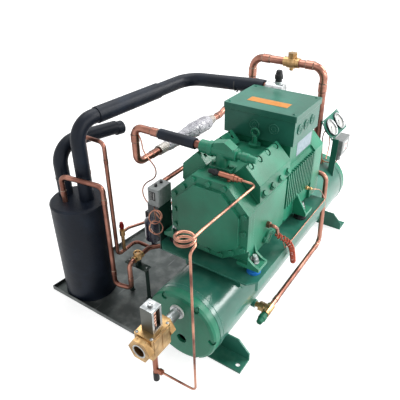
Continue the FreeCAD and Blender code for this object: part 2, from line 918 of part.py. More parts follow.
def drip_tray():
    """A folded tray with two tabs that lie on the feet's flanges."""
    tray = new_body("drip_tray")
    outline = [
        ("tray_left", "tray_front_y"), ("tray_right", "tray_front_y"), ("tray_right", "tray_back_y"),
        ("tray_left_back", "tray_back_y"),
    ]
    within = [
        ("tray_left + tray_sheet", "tray_front_y + tray_sheet"),
        ("tray_right - tray_sheet", "tray_front_y + tray_sheet"),
        ("tray_right - tray_sheet", "tray_back_y - tray_sheet"),
        ("tray_left_back + tray_sheet", "tray_back_y - tray_sheet"),
    ]
    pad(tray, "XY_Plane", [outline], "0", "tray_lip")
    cut(tray, "XY_Plane", [within], "tray_sheet", "tray_lip")
    for side in ("-", ""):
        tab = centred("tray_tab_reach * 0.5", "tray_tab_half", "tray_right + tray_tab_reach * 0.5 - 1",
                      side + "(foot_inner_y + foot_depth * 0.5)")
        hole = ("-foot_hole_x", side + "foot_hole_y", "foot_hole_radius")
        pad(tray, "XY_Plane", [tab, hole], "foot_plate", "foot_plate + tray_sheet")
    return place(tray)


# Compressor casting

def lug_flare(side):
    """The flared side wall of a front foot, in the casting's XZ plane."""
    return [
        (side + "(case_half - 30)", "-crank_rise"), (side + "lug_reach", "-crank_rise"),
        (side + "lug_reach", "-crank_rise + lug_thick"),
        (side + "(lug_reach - 14)", "-crank_rise + lug_thick + 5"),
        (side + "(case_half + 4)", "-crank_rise + lug_thick + lug_flare"),
        (side + "(case_half - case_inset)", "-case_hip"), (side + "(case_half - 30)", "-case_hip"),
    ]


def lug_fence(side):
    """The wall at a front foot's near edge, which stands clear of the cover."""
    return [
        (side + "(case_half + 1.5)", "-crank_rise + lug_thick - 1"), (side + "lug_reach", "-crank_rise + lug_thick - 1"),
        (side + "lug_reach", "-crank_rise + lug_thick"),
        (side + "(lug_reach - 14)", "-crank_rise + lug_thick + 5"),
        (side + "(case_half + 4)", "-crank_rise + lug_thick + lug_flare"),
        (side + "(case_half + 1.5)", "-crank_rise + lug_thick + lug_flare + 6"),
    ]


def lug_gusset(side):
    return [
        (side + "(case_half - 20)", "-crank_rise"), (side + "lug_reach", "-crank_rise"),
        (side + "lug_reach", "-crank_rise + lug_thick"),
        (side + "(case_half - 1)", "-crank_rise + lug_thick + lug_web_rise"),
        (side + "(case_half - 20)", "-crank_rise + lug_thick + lug_web_rise"),
    ]


def compressor_housing():
    """One casting: the crankcase with its two decks, and the finned motor housing."""
    case = new_body("compressor_housing")
    middle = case_outline("case_inset", "body_hip", "body_low_half")
    pad(case, "XZ_Plane", [middle], case_front_y, "case_back_y")
    pad(case, "XZ_Plane", [case_outline()], case_front_y, case_front_y + " + flange_depth")
    pad(case, "XZ_Plane", [motor_outline("fin_depth")], "case_back_y", "motor_plain_y")
    pad(case, "XZ_Plane", [motor_outline()], "motor_plain_y", "motor_back_y")
    neck = rect("-neck_half", "neck_front_y", "neck_half", "neck_back_y")
    pad(case, "XY_Plane", [neck], "motor_shoulder - 6", "terminal_rise - skin_gap")
    pad(case, "XY_Plane", [("0", "discharge_y", "discharge_seat")], "case_top - 10", "case_top + discharge_pad")
    # Upright ribs on both sides of the motor, which start in a recess of the crankcase
    for side in ("", "-"):
        recess = rect(side + "(case_half - fin_depth)", "fin_first_y - fin_clear", side + "case_half", "case_back_y")
        cut(case, "XY_Plane", [recess], "-case_low", "case_top")
        near = side + "(case_half - fin_depth - 2)"
        rib = rect(near, "fin_first_y", side + "case_half", "fin_first_y + fin_thick")
        row_of(case, pad(case, "XY_Plane", [rib], "-fin_low", "fin_high"), "fin_count", "fin_pitch")
    # A flared lug on each front corner, a gusseted one at each rear corner
    for side in ("", "-"):
        for row in ("damper_front_y", "damper_back_y"):
            plate = rect(side + "(case_half - 30)", row + " - lug_half", side + "lug_reach", row + " + lug_half")
            pad(case, "XY_Plane", [plate], "-crank_rise", "-crank_rise + lug_thick")
        far = "damper_front_y + lug_half"
        near = "damper_front_y - lug_half"
        pad(case, "XZ_Plane", [lug_fence(side)], near, near + " + lug_web")
        pad(case, "XZ_Plane", [lug_flare(side)], far + " - lug_web", far)
        near = "damper_back_y - lug_half"
        pad(case, "XZ_Plane", [lug_gusset(side)], near, near + " + lug_web")
    # Bores: crank chamber, motor chamber, bearing and four cylinders
    cut(case, "XZ_Plane", [("0", "0", "chamber_radius")], case_front_y, "chamber_back_y")
    cut(case, "XZ_Plane", [("0", "0", "motor_bore")], "case_back_y", "motor_back_y")
    cut(case, "XZ_Plane", [("0", "0", "journal_radius + fit_gap")], "chamber_back_y", "case_back_y")
    cylinders = [(place_y, "0", "bore_radius") for place_y in ("bank_y - bore_pitch * 0.5", "bank_y + bore_pitch * 0.5")]
    tilted_cut(case, cylinders, deck, "45", "bore_depth")
    tilted_cut(case, cylinders, deck, "135", "bore_depth")
    # Stud holes in the feet
    holes = []
    for side in ("", "-"):
        for row in ("damper_front_y", "damper_back_y"):
            holes.append((side + "damper_x", row, "stud_radius + stud_gap"))
    cut(case, "XY_Plane", holes, "-crank_rise", "-crank_rise + lug_thick")
    return place(case, ("0", "0", crank_z))


def bearing_cover():
    """The front cover: a flange, a raised panel and the bearing pocket behind."""
    cover = new_body("bearing_cover")
    pad(cover, "XZ_Plane", [case_outline()], "cover_front_y", case_front_y)
    pad(cover, "XZ_Plane", [case_outline("panel_inset")], "cover_front_y - panel_raise", "cover_front_y")
    rounded(cover, lambda edge: straight(edge, vector(0, 1, 0)), "head_round")
    bearing = ("0", "0", "journal_radius + fit_gap")
    cut(cover, "XZ_Plane", [bearing], case_front_y + " - journal_depth", case_front_y)
    return place(cover, ("0", "0", crank_z))


def cover_bolts():
    bolts = []
    longest = num("bolt_head_radius") * 7
    for centre in spread(case_outline(), num("cover_bolt_inset"), longest):
        at = vector(centre.x, num("cover_front_y"), num(crank_z) + centre.z)
        bolts.append(bolt_head(at, vector(0, -1, 0)))
    return ready("cover_bolts", bolts)


def motor_cover():
    """The cover over the motor's rear end, dished inwards."""
    cover = new_body("motor_cover")
    pad(cover, "XZ_Plane", [motor_outline()], "motor_back_y", "motor_back_y + motor_cover_thick")
    cut(cover, "XZ_Plane", [("0", "0", "motor_bore - 6")], "motor_back_y", "motor_back_y + motor_cover_dish")
    return place(cover, ("0", "0", crank_z))


def motor_cover_bolts():
    bolts = []
    longest = num("bolt_head_radius") * 9
    for centre in spread(motor_outline(), num("cover_bolt_inset"), longest):
        at = vector(centre.x, num("motor_back_y + motor_cover_thick"), num(crank_z) + centre.z)
        bolts.append(bolt_head(at, vector(0, 1, 0)))
    return ready("motor_cover_bolts", bolts)


# Cylinder banks: local Z points out of the bank, and local Y along the crank

def bank_turn(side):
    lean = turn(vector(0, 1, 0), 45)
    return lean if side > 0 else turn(vector(0, 0, 1), 180).multiply(lean)


def on_bank(thing, side, reach, along="bank_y"):
    sign = "" if side > 0 else "-"
    at = (sign + "(%s) * 0.70711" % reach, along, "%s + (%s) * 0.70711" % (crank_z, reach))
    return place(thing, at, bank_turn(side))


def head_bolt_centres():
    """Four bolts along each long side of a head, in its own frame."""
    centres = []
    for across in ("-head_bolt_inner", "head_bolt_outer"):
        for step in ("-1.5", "-0.5", "0.5", "1.5"):
            centres.append((across, "head_bolt_pitch * " + step))
    return centres


def valve_plate(label, side):
    plate = new_body(label)
    outline = rect("-head_inner", "-head_long * 0.5", "head_outer", "head_long * 0.5")
    ports = [("0", sign + "bore_pitch * 0.5", "bore_radius * 0.4") for sign in ("-", "")]
    pad(plate, "XY_Plane", [outline] + ports, "0", "plate_thick")
    return on_bank(plate, side, deck)


def cylinder_head(label, side):
    """A head with a bevelled outer wall, notched for its bolts."""
    head = new_body(label)
    section = [
        ("-head_inner", "0"), ("head_outer", "0"), ("head_outer", "4"),
        ("head_top_outer", "head_thick"), ("-head_inner", "head_thick"),
    ]
    pad(head, "XZ_Plane", [section], "-head_long * 0.5", "head_long * 0.5")
    rounded(head, lambda edge: straight(edge, vector(0, 1, 0)) and
            edge.CenterOfMass.z > num("head_thick") - 1, "head_round")
    notches = [(across, along, "head_notch") for across, along in head_bolt_centres()]
    cut(head, "XY_Plane", notches, "head_seat", "head_thick")
    cavity = centred("head_wall", "head_long * 0.5 - head_wall", "-10")
    cut(head, "XY_Plane", [cavity], "0", "head_cavity")
    return on_bank(head, side, deck + " + plate_thick")


def head_bolts():
    bolts = []
    for side in (-1, 1):
        facing = bank_turn(side)
        axis = facing.multVec(vector(0, 0, 1))
        base = vector(0, num("bank_y"), num(crank_z)) + axis * num(deck + " + plate_thick + head_seat")
        for across, along in head_bolt_centres():
            bolts.append(bolt_head(base + facing.multVec(vector(num(across), num(along), 0)), axis))
    return ready("head_bolts", bolts)


def piston(label, side, along, drop):
    """A cup piston, open towards the crank, as low in its bore as its crank pin puts it."""
    radius = "bore_radius - piston_gap"
    profile = [
        ("0", "piston_length"), (radius, "piston_length"), (radius, "0"),
        (radius + " - piston_wall", "0"), (radius + " - piston_wall", "piston_length - piston_wall"),
        ("0", "piston_length - piston_wall"),
    ]
    made = turned(label, profile, ("0", "0", "0"))
    return on_bank(made, side, "%s - deck_gap - piston_length - %s" % (deck, drop), along)


# Crankshaft and motor

def crankshaft():
    """Two throws, each driving the facing pistons of both banks."""
    shaft = new_body("crankshaft")
    cheeks = []
    for middle in ("bank_y - bore_pitch * 0.5", "bank_y + bore_pitch * 0.5"):
        cheeks.append("(%s - pin_length * 0.5 - cheek_thick)" % middle)
        cheeks.append("(%s + pin_length * 0.5)" % middle)
    ends = [low + " + cheek_thick" for low in cheeks]
    journal = [("0", "0", "journal_radius")]
    front_end = case_front_y + " - journal_depth + skin_gap"
    bearing_end = "case_back_y + 6"
    stretches = [
        (journal, front_end, cheeks[0]), (journal, ends[1], cheeks[2]), (journal, ends[3], bearing_end),
        ([("0", "crank_throw", "pin_radius")], ends[0], cheeks[1]),
        ([("0", "-crank_throw", "pin_radius")], ends[2], cheeks[3]),
        ([("0", "0", "shaft_radius")], bearing_end, "rotor_y + rotor_length * 0.5 + 8"),
    ]
    stretches += [([("0", "0", "cheek_radius")], low, high) for low, high in zip(cheeks, ends)]
    stretches.sort(key=lambda stretch: num(stretch[1]))
    for shapes, low, high in stretches:
        pad(shaft, "XZ_Plane", shapes, low, high)
    return place(shaft, ("0", "0", crank_z))


def motor_ring(label, outer, inner, low, high):
    ring = new_body(label)
    pad(ring, "XZ_Plane", [("0", "0", outer), ("0", "0", inner)], low, high)
    return place(ring, ("0", "0", crank_z))


def motor_parts():
    low = "rotor_y - rotor_length * 0.5"
    high = "rotor_y + rotor_length * 0.5"
    made = [motor_ring("rotor", "rotor_radius", "shaft_radius + fit_gap", low, high)]
    core = motor_ring("stator_core", "motor_bore - skin_gap", "rotor_radius + air_gap", low, high)
    coils = []
    for at in (low + " - winding_length", high):
        start = point(("0", at, crank_z))
        outer = drum("winding_outer", "winding_length", start, vector(0, 1, 0))
        coils.append(outer.cut(drum("winding_inner", "winding_length", start, vector(0, 1, 0))))
    made.append(group("stator", [core, ready("windings", coils)]))
    return made


# Valves and boxes on the compressor

def discharge_valve():
    """A cast angle valve: a barrel across the crankcase on a bolted neck."""
    valve = new_body("discharge_valve")
    low = "-(discharge_rise - case_top - discharge_pad)"
    pad(valve, "XY_Plane", [centred("discharge_seat", "discharge_neck")], low, low + " + flange_thick")
    rounded(valve, lambda edge: straight(edge, vector(0, 0, 1)), "flange_thick")
    pad(valve, "XY_Plane", [("0", "0", "discharge_neck - 1")], low, "0")
    pad(valve, "YZ_Plane", [("0", "0", "discharge_barrel")], "discharge_left", "discharge_right")
    pad(valve, "YZ_Plane", [("0", "0", "discharge_barrel + 3")], "discharge_left + 26", "discharge_left + 38")
    block = [
        ("-22", "-8"), ("discharge_right - 8", "-8"), ("discharge_right - 8", "discharge_barrel"),
        ("10", "discharge_barrel + 14"), ("-22", "discharge_barrel + 5"),
    ]
    pad(valve, "XZ_Plane", [block], "-discharge_barrel * 0.8", "discharge_barrel * 0.8")
    socket = ("0", "0", "gas_pipe + skin_gap * 0.5")
    cut(valve, "YZ_Plane", [socket], "discharge_left", "discharge_left + socket_depth")
    return place(valve, ("0", "discharge_y", discharge_z))


def spindle_cap(label, at, facing, radius, length):
    """A screwed cap over a valve spindle, with a collar at its middle."""
    profile = [
        ("0", "0"), (radius + " * 0.8", "0"), (radius + " * 0.8", length + " * 0.2"),
        (radius, length + " * 0.25"), (radius, length + " * 0.55"),
        (radius + " * 0.85", length + " * 0.62"), (radius + " * 0.7", length + " * 0.95"),
        (radius + " * 0.5", length), ("0", length),
    ]
    return turned(label, profile, at, facing)


def flange_bolts():
    """The bolts that hold the discharge valve and the oil sight glass."""
    bolts = []
    for side in (-1, 1):
        at = point(("0", "discharge_y", crank_z + " + case_top + discharge_pad + flange_thick"))
        at.x = side * num("discharge_seat - bolt_head_radius + 0.5")
        bolts.append(bolt_head(at, vector(0, 0, 1)))
        ear = point(("case_half - case_inset + sight_thick - 2", "sight_y", sight_z()))
        ear.y += side * num("sight_radius + ear_radius * 0.6")
        bolts.append(hexagon(num("ear_radius") * 0.55, num("bolt_head_height") * 0.6, ear, vector(1, 0, 0)))
    return ready("flange_bolts", bolts)


def sight_z():
    return crank_z + " - sight_drop"


def suction_valve():
    """The valve that takes the return gas into the motor housing."""
    valve = new_body("suction_valve")
    low = "-(suction_rise - motor_top)"
    pad(valve, "XY_Plane", [("0", "0", "suction_neck")], low, "0")
    pad(valve, "YZ_Plane", [("0", "0", "suction_barrel")], "suction_left - suction_x", "suction_barrel")
    pad(valve, "XY_Plane", [("0", "0", "suction_neck * 0.8")], "0", "suction_barrel + 6")
    socket = ("0", "0", "hot_pipe + skin_gap * 0.5")
    cut(valve, "YZ_Plane", [socket], "suction_left - suction_x", "suction_left - suction_x + socket_depth")
    return place(valve, ("suction_x", "suction_y", suction_z))


def terminal_box():
    """An open sheet box on the motor, with knock-outs on two sides."""
    box = new_body("terminal_box")
    high = "terminal_height - terminal_sheet"
    outer = rect("-terminal_half", "terminal_front_y", "terminal_half", "terminal_back_y")
    inner = rect("-terminal_half + terminal_sheet", "terminal_front_y + terminal_sheet",
                 "terminal_half - terminal_sheet", "terminal_back_y - terminal_sheet")
    pad(box, "XY_Plane", [outer], "0", high)
    cut(box, "XY_Plane", [inner], "terminal_sheet", high)
    middle = "terminal_height * 0.45"
    faces = [(across, middle, "knockout_radius") for across in ("terminal_half * 0.45", "-terminal_half * 0.1")]
    pad(box, "XZ_Plane", faces, "terminal_front_y - knockout_raise", "terminal_front_y")
    sides = [("terminal_front_y + %d" % reach, middle, "knockout_radius") for reach in (35, 80, 125)]
    pad(box, "YZ_Plane", sides, "terminal_half", "terminal_half + knockout_raise")
    return place(box, ("0", "0", crank_z + " + terminal_rise"))


def terminal_lid():
    """A pan lid that laps over the box's walls."""
    lid = new_body("terminal_lid")
    wide = "terminal_sheet + lid_gap"
    outer = rect("-terminal_half - " + wide, "terminal_front_y - " + wide, "terminal_half + " + wide,
                 "terminal_back_y + " + wide)
    inner = rect("-terminal_half - lid_gap", "terminal_front_y - lid_gap", "terminal_half + lid_gap",
                 "terminal_back_y + lid_gap")
    pad(lid, "XY_Plane", [outer], "-lid_skirt", "terminal_sheet")
    rounded(lid, lambda edge: straight(edge, vector(0, 0, 1)), "head_round")
    cut(lid, "XY_Plane", [inner], "-lid_skirt", "0")
    return place(lid, ("0", "0", crank_z + " + terminal_rise + terminal_height - terminal_sheet"))

def lifting_eye():
    """An eye nut on a collar between the heads and the terminal box."""
    centre = point(("0", "eye_y", crank_z + " + eye_rise"))
    base = point(("0", "eye_y", crank_z + " + case_top - case_inset"))
    ring = Part.makeTorus(num("eye_ring"), num("eye_wire"), centre, vector(0, 1, 0))
    stem = drum("eye_stem", "eye_rise - case_top + case_inset - eye_ring", base, vector(0, 0, 1))
    collar = drum("eye_collar", "flange_thick", base, vector(0, 0, 1))
    return ready("lifting_eye", [ring.fuse([stem, collar]).removeSplitter()])


def oil_sight_glass():
    """A flanged sight glass on the side of the crankcase."""
    glass = new_body("oil_sight_glass")
    pad(glass, "XY_Plane", [("0", "0", "sight_radius")], "0", "sight_thick")
    for side in ("-", ""):
        ear = ("0", side + "(sight_radius + 2)", "ear_radius")
        pad(glass, "XY_Plane", [ear], "0", "sight_thick - 2")
    cut(glass, "XY_Plane", [("0", "0", "sight_lens")], "sight_thick - 3", "sight_thick")
    return place(glass, ("case_half - case_inset", "sight_y", sight_z()), right)


def service_valve():
    """A small brass valve over the cover's top edge."""
    valve = new_body("service_valve")
    pad(valve, "YZ_Plane", [("0", "0", "service_radius")], "-26", "26")
    pad(valve, "YZ_Plane", [("0", "0", "service_radius + 2")], "8", "16")
    pad(valve, "YZ_Plane", [("0", "0", "capillary_radius + 2.5")], "26", "36")
    pad(valve, "XY_Plane", [("0", "0", "service_radius - 3")], "-(service_rise - case_top)", "0")
    bore = ("0", "0", "capillary_radius + skin_gap * 0.5")
    cut(valve, "YZ_Plane", [bore], "26", "36")
    return place(valve, ("service_x", "service_y", service_z))


def oil_fitting():
    """A plug with an elbow that leads down to the heater lead's gland."""
    start = point(("case_half - case_inset", "fitting_y", crank_z + " - fitting_drop"))
    base = hexagon(num("bolt_head_radius") * 1.3, num("flange_thick"), start, vector(1, 0, 0))
    out = "case_half - case_inset + flange_thick"
    stops = [
        (out, "fitting_y", fitting_z),
        (elbow_x, "fitting_y", fitting_z),
        (elbow_x, "fitting_y + 16", fitting_z + " - 16"),
        (elbow_x, "fitting_y + 22", fitting_z + " - 34"),
    ]
    return ready("oil_fitting", [base.fuse(bent_tube(stops, "elbow_radius", "elbow_radius + 1"))])


# Lines on the left: discharge gas, suction gas and their vessels

def discharge_pipe():
    stops = [
        ("discharge_left + socket_depth - skin_gap", "discharge_y", discharge_z),
        ("gas_x", "discharge_y", discharge_z), ("gas_x", "discharge_y", "gas_low"),
        ("gas_x", "absorber_front_y + socket_depth - skin_gap", "gas_low"),
    ]
    return pipe("discharge_pipe", stops, "gas_pipe", "gas_bend")


def discharge_sleeve():
    sleeve = new_body("discharge_sleeve")
    rings = [("0", "0", "sleeve_radius"), ("0", "0", "gas_pipe + foam_gap")]
    pad(sleeve, "YZ_Plane", rings, "sleeve_far", "sleeve_near")
    return place(sleeve, ("0", "discharge_y", discharge_z))


def vibration_absorber():
    """A braided bellows, fat towards the rear, with a socket at each end."""
    length = "(absorber_back_y - absorber_front_y)"
    socket = "gas_pipe + skin_gap * 0.5"
    waist = "gas_pipe - pipe_wall"
    profile = [
        (socket, "0"), ("absorber_neck", "0"), ("absorber_neck", length + " * 0.16"),
        ("absorber_neck + 2", length + " * 0.44"), ("absorber_radius", length + " * 0.7"),
        ("absorber_radius", length + " * 0.88"), ("absorber_neck - 2", length),
        (socket, length), (socket, length + " - socket_depth"), (waist, length + " - socket_depth"),
        (waist, "socket_depth"), (socket, "socket_depth"),
    ]
    return turned("vibration_absorber", profile, ("gas_x", "absorber_front_y", "gas_low"), back)


def separator_inlet_pipe():
    stops = [
        ("gas_x", "absorber_back_y - socket_depth + skin_gap", "gas_low"),
        ("gas_x", "absorber_back_y + 50", "gas_low"), ("gas_x", "absorber_back_y + 128", "separator_port"),
        ("gas_x", "separator_y - separator_radius - skin_gap", "separator_port"),
    ]
    return pipe("separator_inlet_pipe", stops, "gas_pipe", "gas_bend * 2")


def oil_separator():
    """A tall steel vessel with domed ends and a dark disc on its top."""
    height = "(separator_top - tray_sheet)"
    edge = "separator_radius"
    profile = [
        ("0", "0"), (edge + " * 0.6", "0"), (edge + " * 0.6", "8"), (edge + " * 0.85", "14"),
        (edge, "28"), (edge, height + " - 18"), (edge + " * 0.92", height + " - separator_disc - 4"),
        (edge + " * 0.92", height), ("0", height),
    ]
    return turned("oil_separator", profile, ("separator_x", "separator_y", "tray_sheet"))


def hot_gas_pipe():
    """Two stretches: up from the separator, then over and down to the shell."""
    rise = [
        ("separator_x", "separator_y", "separator_top + skin_gap"), ("separator_x", "separator_y", "hot_gas_z"),
        ("check_x - check_half + socket_depth - skin_gap", "separator_y", "hot_gas_z"),
    ]
    fall = [
        ("check_x + check_half - socket_depth + skin_gap", "separator_y", "hot_gas_z"),
        ("gas_inlet_x", "separator_y", "hot_gas_z"),
        ("gas_inlet_x", "gas_inlet_y", "shell_height + shell_radius + 60"),
        ("gas_inlet_x", "gas_inlet_y", "shell_height + shell_radius - shell_wall"),
    ]
    bore = "hot_pipe - pipe_wall"
    return ready("hot_gas_pipe", [bent_tube(stops, "hot_pipe", "hot_bend", bore) for stops in (rise, fall)])


def check_valve():
    """A brass non-return valve in the hot gas line, with a hexagon cap on top."""
    at = point(("check_x - check_half", "separator_y", "hot_gas_z"))
    along = vector(1, 0, 0)
    middle = point(("check_x", "separator_y", "hot_gas_z"))
    barrel = drum("check_radius - 3", "2 * check_half", at, along)
    bulge = drum("check_radius", "check_half", point(("check_x - check_half * 0.5", "separator_y", "hot_gas_z")), along)
    cap = hexagon(num("check_radius") * 0.85, num("check_radius") + 14, middle, vector(0, 0, 1))
    nub = drum("bolt_head_radius", "check_radius + 8", middle, vector(0, 0, -1))
    body = barrel.fuse([bulge, cap, nub]).removeSplitter()
    for start in ("check_x - check_half", "check_x + check_half - socket_depth"):
        body = body.cut(drum("hot_pipe + skin_gap * 0.5", "socket_depth", point((start, "separator_y", "hot_gas_z")), along))
    return ready("check_valve", [body])


def accumulator_lid_z():
    return "accumulator_top - accumulator_foam"


def suction_stops():
    """The return line from the accumulator to the compressor's suction valve."""
    return [
        ("accumulator_x + 24", "accumulator_y + 17", accumulator_lid_z() + " + skin_gap"),
        ("accumulator_x + 24", "accumulator_y + 17", "accumulator_top + 244"),
        ("accumulator_x + 76", "suction_y", suction_z + " - 20"),
        ("suction_left - 30", "suction_y", suction_z),
        ("suction_left + socket_depth - skin_gap", "suction_y", suction_z),
    ]


def return_stops():
    """The short line that comes back from the evaporator, open at its end."""
    return [
        ("accumulator_x - 53", "accumulator_y + 3", accumulator_lid_z() + " + skin_gap"),
        ("accumulator_x - 53", "accumulator_y + 3", "accumulator_top + 168"),
        ("accumulator_x - 28", "accumulator_y + 252", "accumulator_top + 145"),
    ]


def foam(label, stops, high_trim):
    """Foam round a line, from the vessel's top to a little short of the line's end."""
    first = (stops[0][0], stops[0][1], "accumulator_top + skin_gap")
    end = point(stops[-1])
    before = point(stops[-2])
    wire_points = [point(first)] + [point(stop) for stop in stops[1:-1]]
    wire_points.append(end - (end - before).normalize() * num(high_trim))
    wire = path_wire(wire_points, num("foam_bend"))
    outer = checked_sweep(wire, num("foam_radius"))
    return ready(label, [outer.cut(checked_sweep(wire, num("hot_pipe + foam_gap")))])


def accumulator():
    """The steel vessel that stands inside the foam."""
    edge = "(accumulator_radius - accumulator_foam - skin_gap)"
    height = "(%s - tray_sheet)" % accumulator_lid_z()
    profile = [
        ("0", "0"), (edge + " - 14", "0"), (edge, "14"), (edge, height), ("0", height),
    ]
    return turned("accumulator", profile, ("accumulator_x", "accumulator_y", "tray_sheet"))


def accumulator_foam():
    """A foam jacket closed by a disc on top, with holes for the four lines."""
    jacket = new_body("accumulator_foam")
    inner = "accumulator_radius - accumulator_foam"
    height = "(accumulator_top - tray_sheet)"
    profile = [
        (inner, "0"), ("accumulator_radius", "0"), ("accumulator_radius", height + " - accumulator_rim"),
        ("accumulator_radius - accumulator_rim", height), ("0", height),
        ("0", height + " - accumulator_foam + skin_gap"), (inner, height + " - accumulator_foam + skin_gap"),
    ]
    outline = draw(new_sketch(jacket, "XZ_Plane"), [profile])
    spin = jacket.newObject("PartDesign::Revolution", "accumulator_foam_turned")
    spin.Profile = outline
    spin.ReferenceAxis = (outline, ["V_Axis"])
    spin.Angle = 360
    gap = " + skin_gap"
    holes = [
        ("24", "17", "hot_pipe" + gap), ("-53", "3", "hot_pipe" + gap),
        ("-18", "-32", "liquid_pipe" + gap), ("2", "58", "arch_pipe" + gap),
    ]
    cut(jacket, "XY_Plane", holes, height + " - accumulator_foam", height)
    return place(jacket, ("accumulator_x", "accumulator_y", "tray_sheet"))


def liquid_lines():
    """The liquid's way: condenser, drier, arch, vessel coil, glass and outlet."""
    lid = accumulator_lid_z() + " + skin_gap"
    condenser = [
        ("liquid_x", "liquid_y + 18 + skin_gap", liquid_z), ("liquid_x", "liquid_rear_y", liquid_z + " - 6"),
        ("liquid_x - 12", "liquid_rear_y", "liquid_high"), ("drier_x", "liquid_rear_y", "liquid_high"),
        ("drier_x", "drier_y", "liquid_high"),
        ("drier_x", "drier_y", "drier_high + drier_neck_long - 8 + skin_gap"),
    ]
    arch = [
        ("drier_x", "drier_y", "drier_low - drier_neck_long + 8 - skin_gap"), ("drier_x", "drier_y", "arch_low"),
        ("arch_x", "drier_y", "arch_low"), ("arch_x", "arch_y", "arch_low"), ("arch_x", "arch_y", "arch_high"),
        ("accumulator_x + 2", "arch_y", "arch_high"), ("accumulator_x + 2", "arch_y", lid),
    ]
    coil = [
        ("accumulator_x - 18", "accumulator_y - 32", lid),
        ("accumulator_x - 18", "accumulator_y - 32", "accumulator_top + 88"),
        ("accumulator_x + 114", "accumulator_y + 3", "accumulator_top + 75"),
        ("accumulator_x + 114", "accumulator_y + 3", "60"), ("glass_x", "glass_y - 42", "60"),
        ("glass_x", "glass_y - 42", "glass_z"), ("glass_x", "glass_y - 20 + 8 - skin_gap", "glass_z"),
    ]
    outlet = [
        ("glass_x", "glass_y + 20 - 8 + skin_gap", "glass_z"), ("glass_x", "glass_y + 60", "glass_z"),
        ("tray_right - 50", "glass_y + 130", "glass_z"), ("tray_right - 50", "outlet_end_y", "glass_z"),
    ]
    made = [pipe("condenser_liquid_pipe", condenser, "liquid_pipe", "liquid_bend")]
    made.append(pipe("arch_pipe", arch, "arch_pipe", "liquid_bend * 0.7"))
    made.append(pipe("vessel_coil_pipe", coil, "liquid_pipe", "liquid_bend * 0.75"))
    made.append(pipe("liquid_outlet_pipe", outlet, "liquid_pipe", "liquid_bend"))
    return made


def filter_drier():
    """A steel shell with a coned neck and a copper socket at each end."""
    middle = "(drier_high - drier_low)"
    neck = "drier_neck_long"
    socket = "liquid_pipe + skin_gap * 0.5"
    profile = [
        ("0", "8"), (socket, "8"), (socket, "0"), ("drier_neck", "0"), ("drier_neck", neck + " * 0.6"),
        ("drier_radius", neck + " + 8"), ("drier_radius", neck + " + %s - 8" % middle),
        ("drier_neck", neck + " * 1.4 + " + middle), ("drier_neck", neck + " * 2 + " + middle),
        (socket, neck + " * 2 + " + middle), (socket, neck + " * 2 - 8 + " + middle),
        ("0", neck + " * 2 - 8 + " + middle),
    ]
    return turned("filter_drier", profile, ("drier_x", "drier_y", "drier_low - drier_neck_long"))


def liquid_sight_glass():
    """A brass body in the liquid line with a round window on top."""
    along = vector(0, 1, 0)
    start = point(("glass_x", "glass_y - 20", "glass_z"))
    barrel = drum("liquid_pipe + 3", "40", start, along)
    window = drum("glass_radius", "glass_radius + 6", point(("glass_x", "glass_y", "glass_z - 4")), vector(0, 0, 1))
    body = barrel.fuse(window).removeSplitter()
    for at in ("glass_y - 20", "glass_y + 12"):
        body = body.cut(drum("liquid_pipe + skin_gap * 0.5", "8", point(("glass_x", at, "glass_z")), along))
    top = point(("glass_x", "glass_y", "glass_z + glass_radius"))
    return ready("liquid_sight_glass", [body.cut(drum("glass_radius - 4", "3", top, vector(0, 0, 1)))])


def charging_valve():
    """A brass stem valve that stands on the arch pipe, with a red cap."""
    body = new_body("charging_valve")
    clear = "arch_pipe + skin_gap"
    high = "charge_branch + 14 - arch_low"
    pad(body, "XY_Plane", [("0", "0", "charge_radius - 3")], clear, high)
    pad(body, "XY_Plane", [("0", "0", "charge_radius")], "charge_branch - arch_low - 12", "charge_branch - arch_low + 10")
    cut(body, "XZ_Plane", [("0", "charge_branch - arch_low", "branch_pipe + skin_gap * 0.5")], "2", "charge_radius")
    return place(body, ("arch_x", "charge_y", "arch_low"))


def oil_return_parts():
    """The small line from the charging valve to the separator, with its solenoid."""
    run_x = "separator_x - 50"
    stops = [
        ("arch_x", "charge_y + 2 + skin_gap", "charge_branch"), ("arch_x", "charge_y + 30", "charge_branch"),
        (run_x, "charge_y + 90", "charge_branch"), (run_x, "separator_y - 150", "charge_branch"),
        ("separator_x", "separator_y - 100", "charge_branch"),
        ("separator_x", "separator_y - separator_radius - skin_gap", "charge_branch"),
    ]
    line = pipe("oil_return_pipe", stops, "branch_pipe", "liquid_bend")
    coil = new_body("solenoid_coil")
    bore = (run_x, "charge_branch", "branch_pipe + skin_gap")
    outline = centred("19", "21", run_x, "charge_branch + 6")
    pad(coil, "XZ_Plane", [outline, bore], "solenoid_y - 17", "solenoid_y + 17")
    rounded(coil, lambda edge: straight(edge, vector(0, 1, 0)), "head_round")
    return [line, place(coil)]


def line_stand():
    """Two posts with a bar between them that carry the liquid sight glass."""
    stand = new_body("line_stand")
    for side in ("-", ""):
        post = centred("stand_wide * 0.5", "bracket_sheet * 0.5", side + "stand_spread", "0")
        pad(stand, "XY_Plane", [post], "0", "stand_height - tray_sheet")
        base = centred("stand_wide * 0.5", "stand_wide * 0.5", side + "stand_spread", "0")
        pad(stand, "XY_Plane", [base], "0", "bracket_sheet")
    bar = centred("stand_spread + stand_wide * 0.5", "stand_wide", "0", "0")
    pad(stand, "XY_Plane", [bar], "stand_height - tray_sheet", "stand_height - tray_sheet + bracket_sheet")
    saddle = centred("bracket_sheet * 2", "stand_wide * 0.6", "glass_x - stand_x", "0")
    rise = "glass_z - liquid_pipe - 3 - skin_gap - tray_sheet"
    pad(stand, "XY_Plane", [saddle], "stand_height - tray_sheet + bracket_sheet - 1", rise)
    return place(stand, ("stand_x", "stand_y", "tray_sheet"))


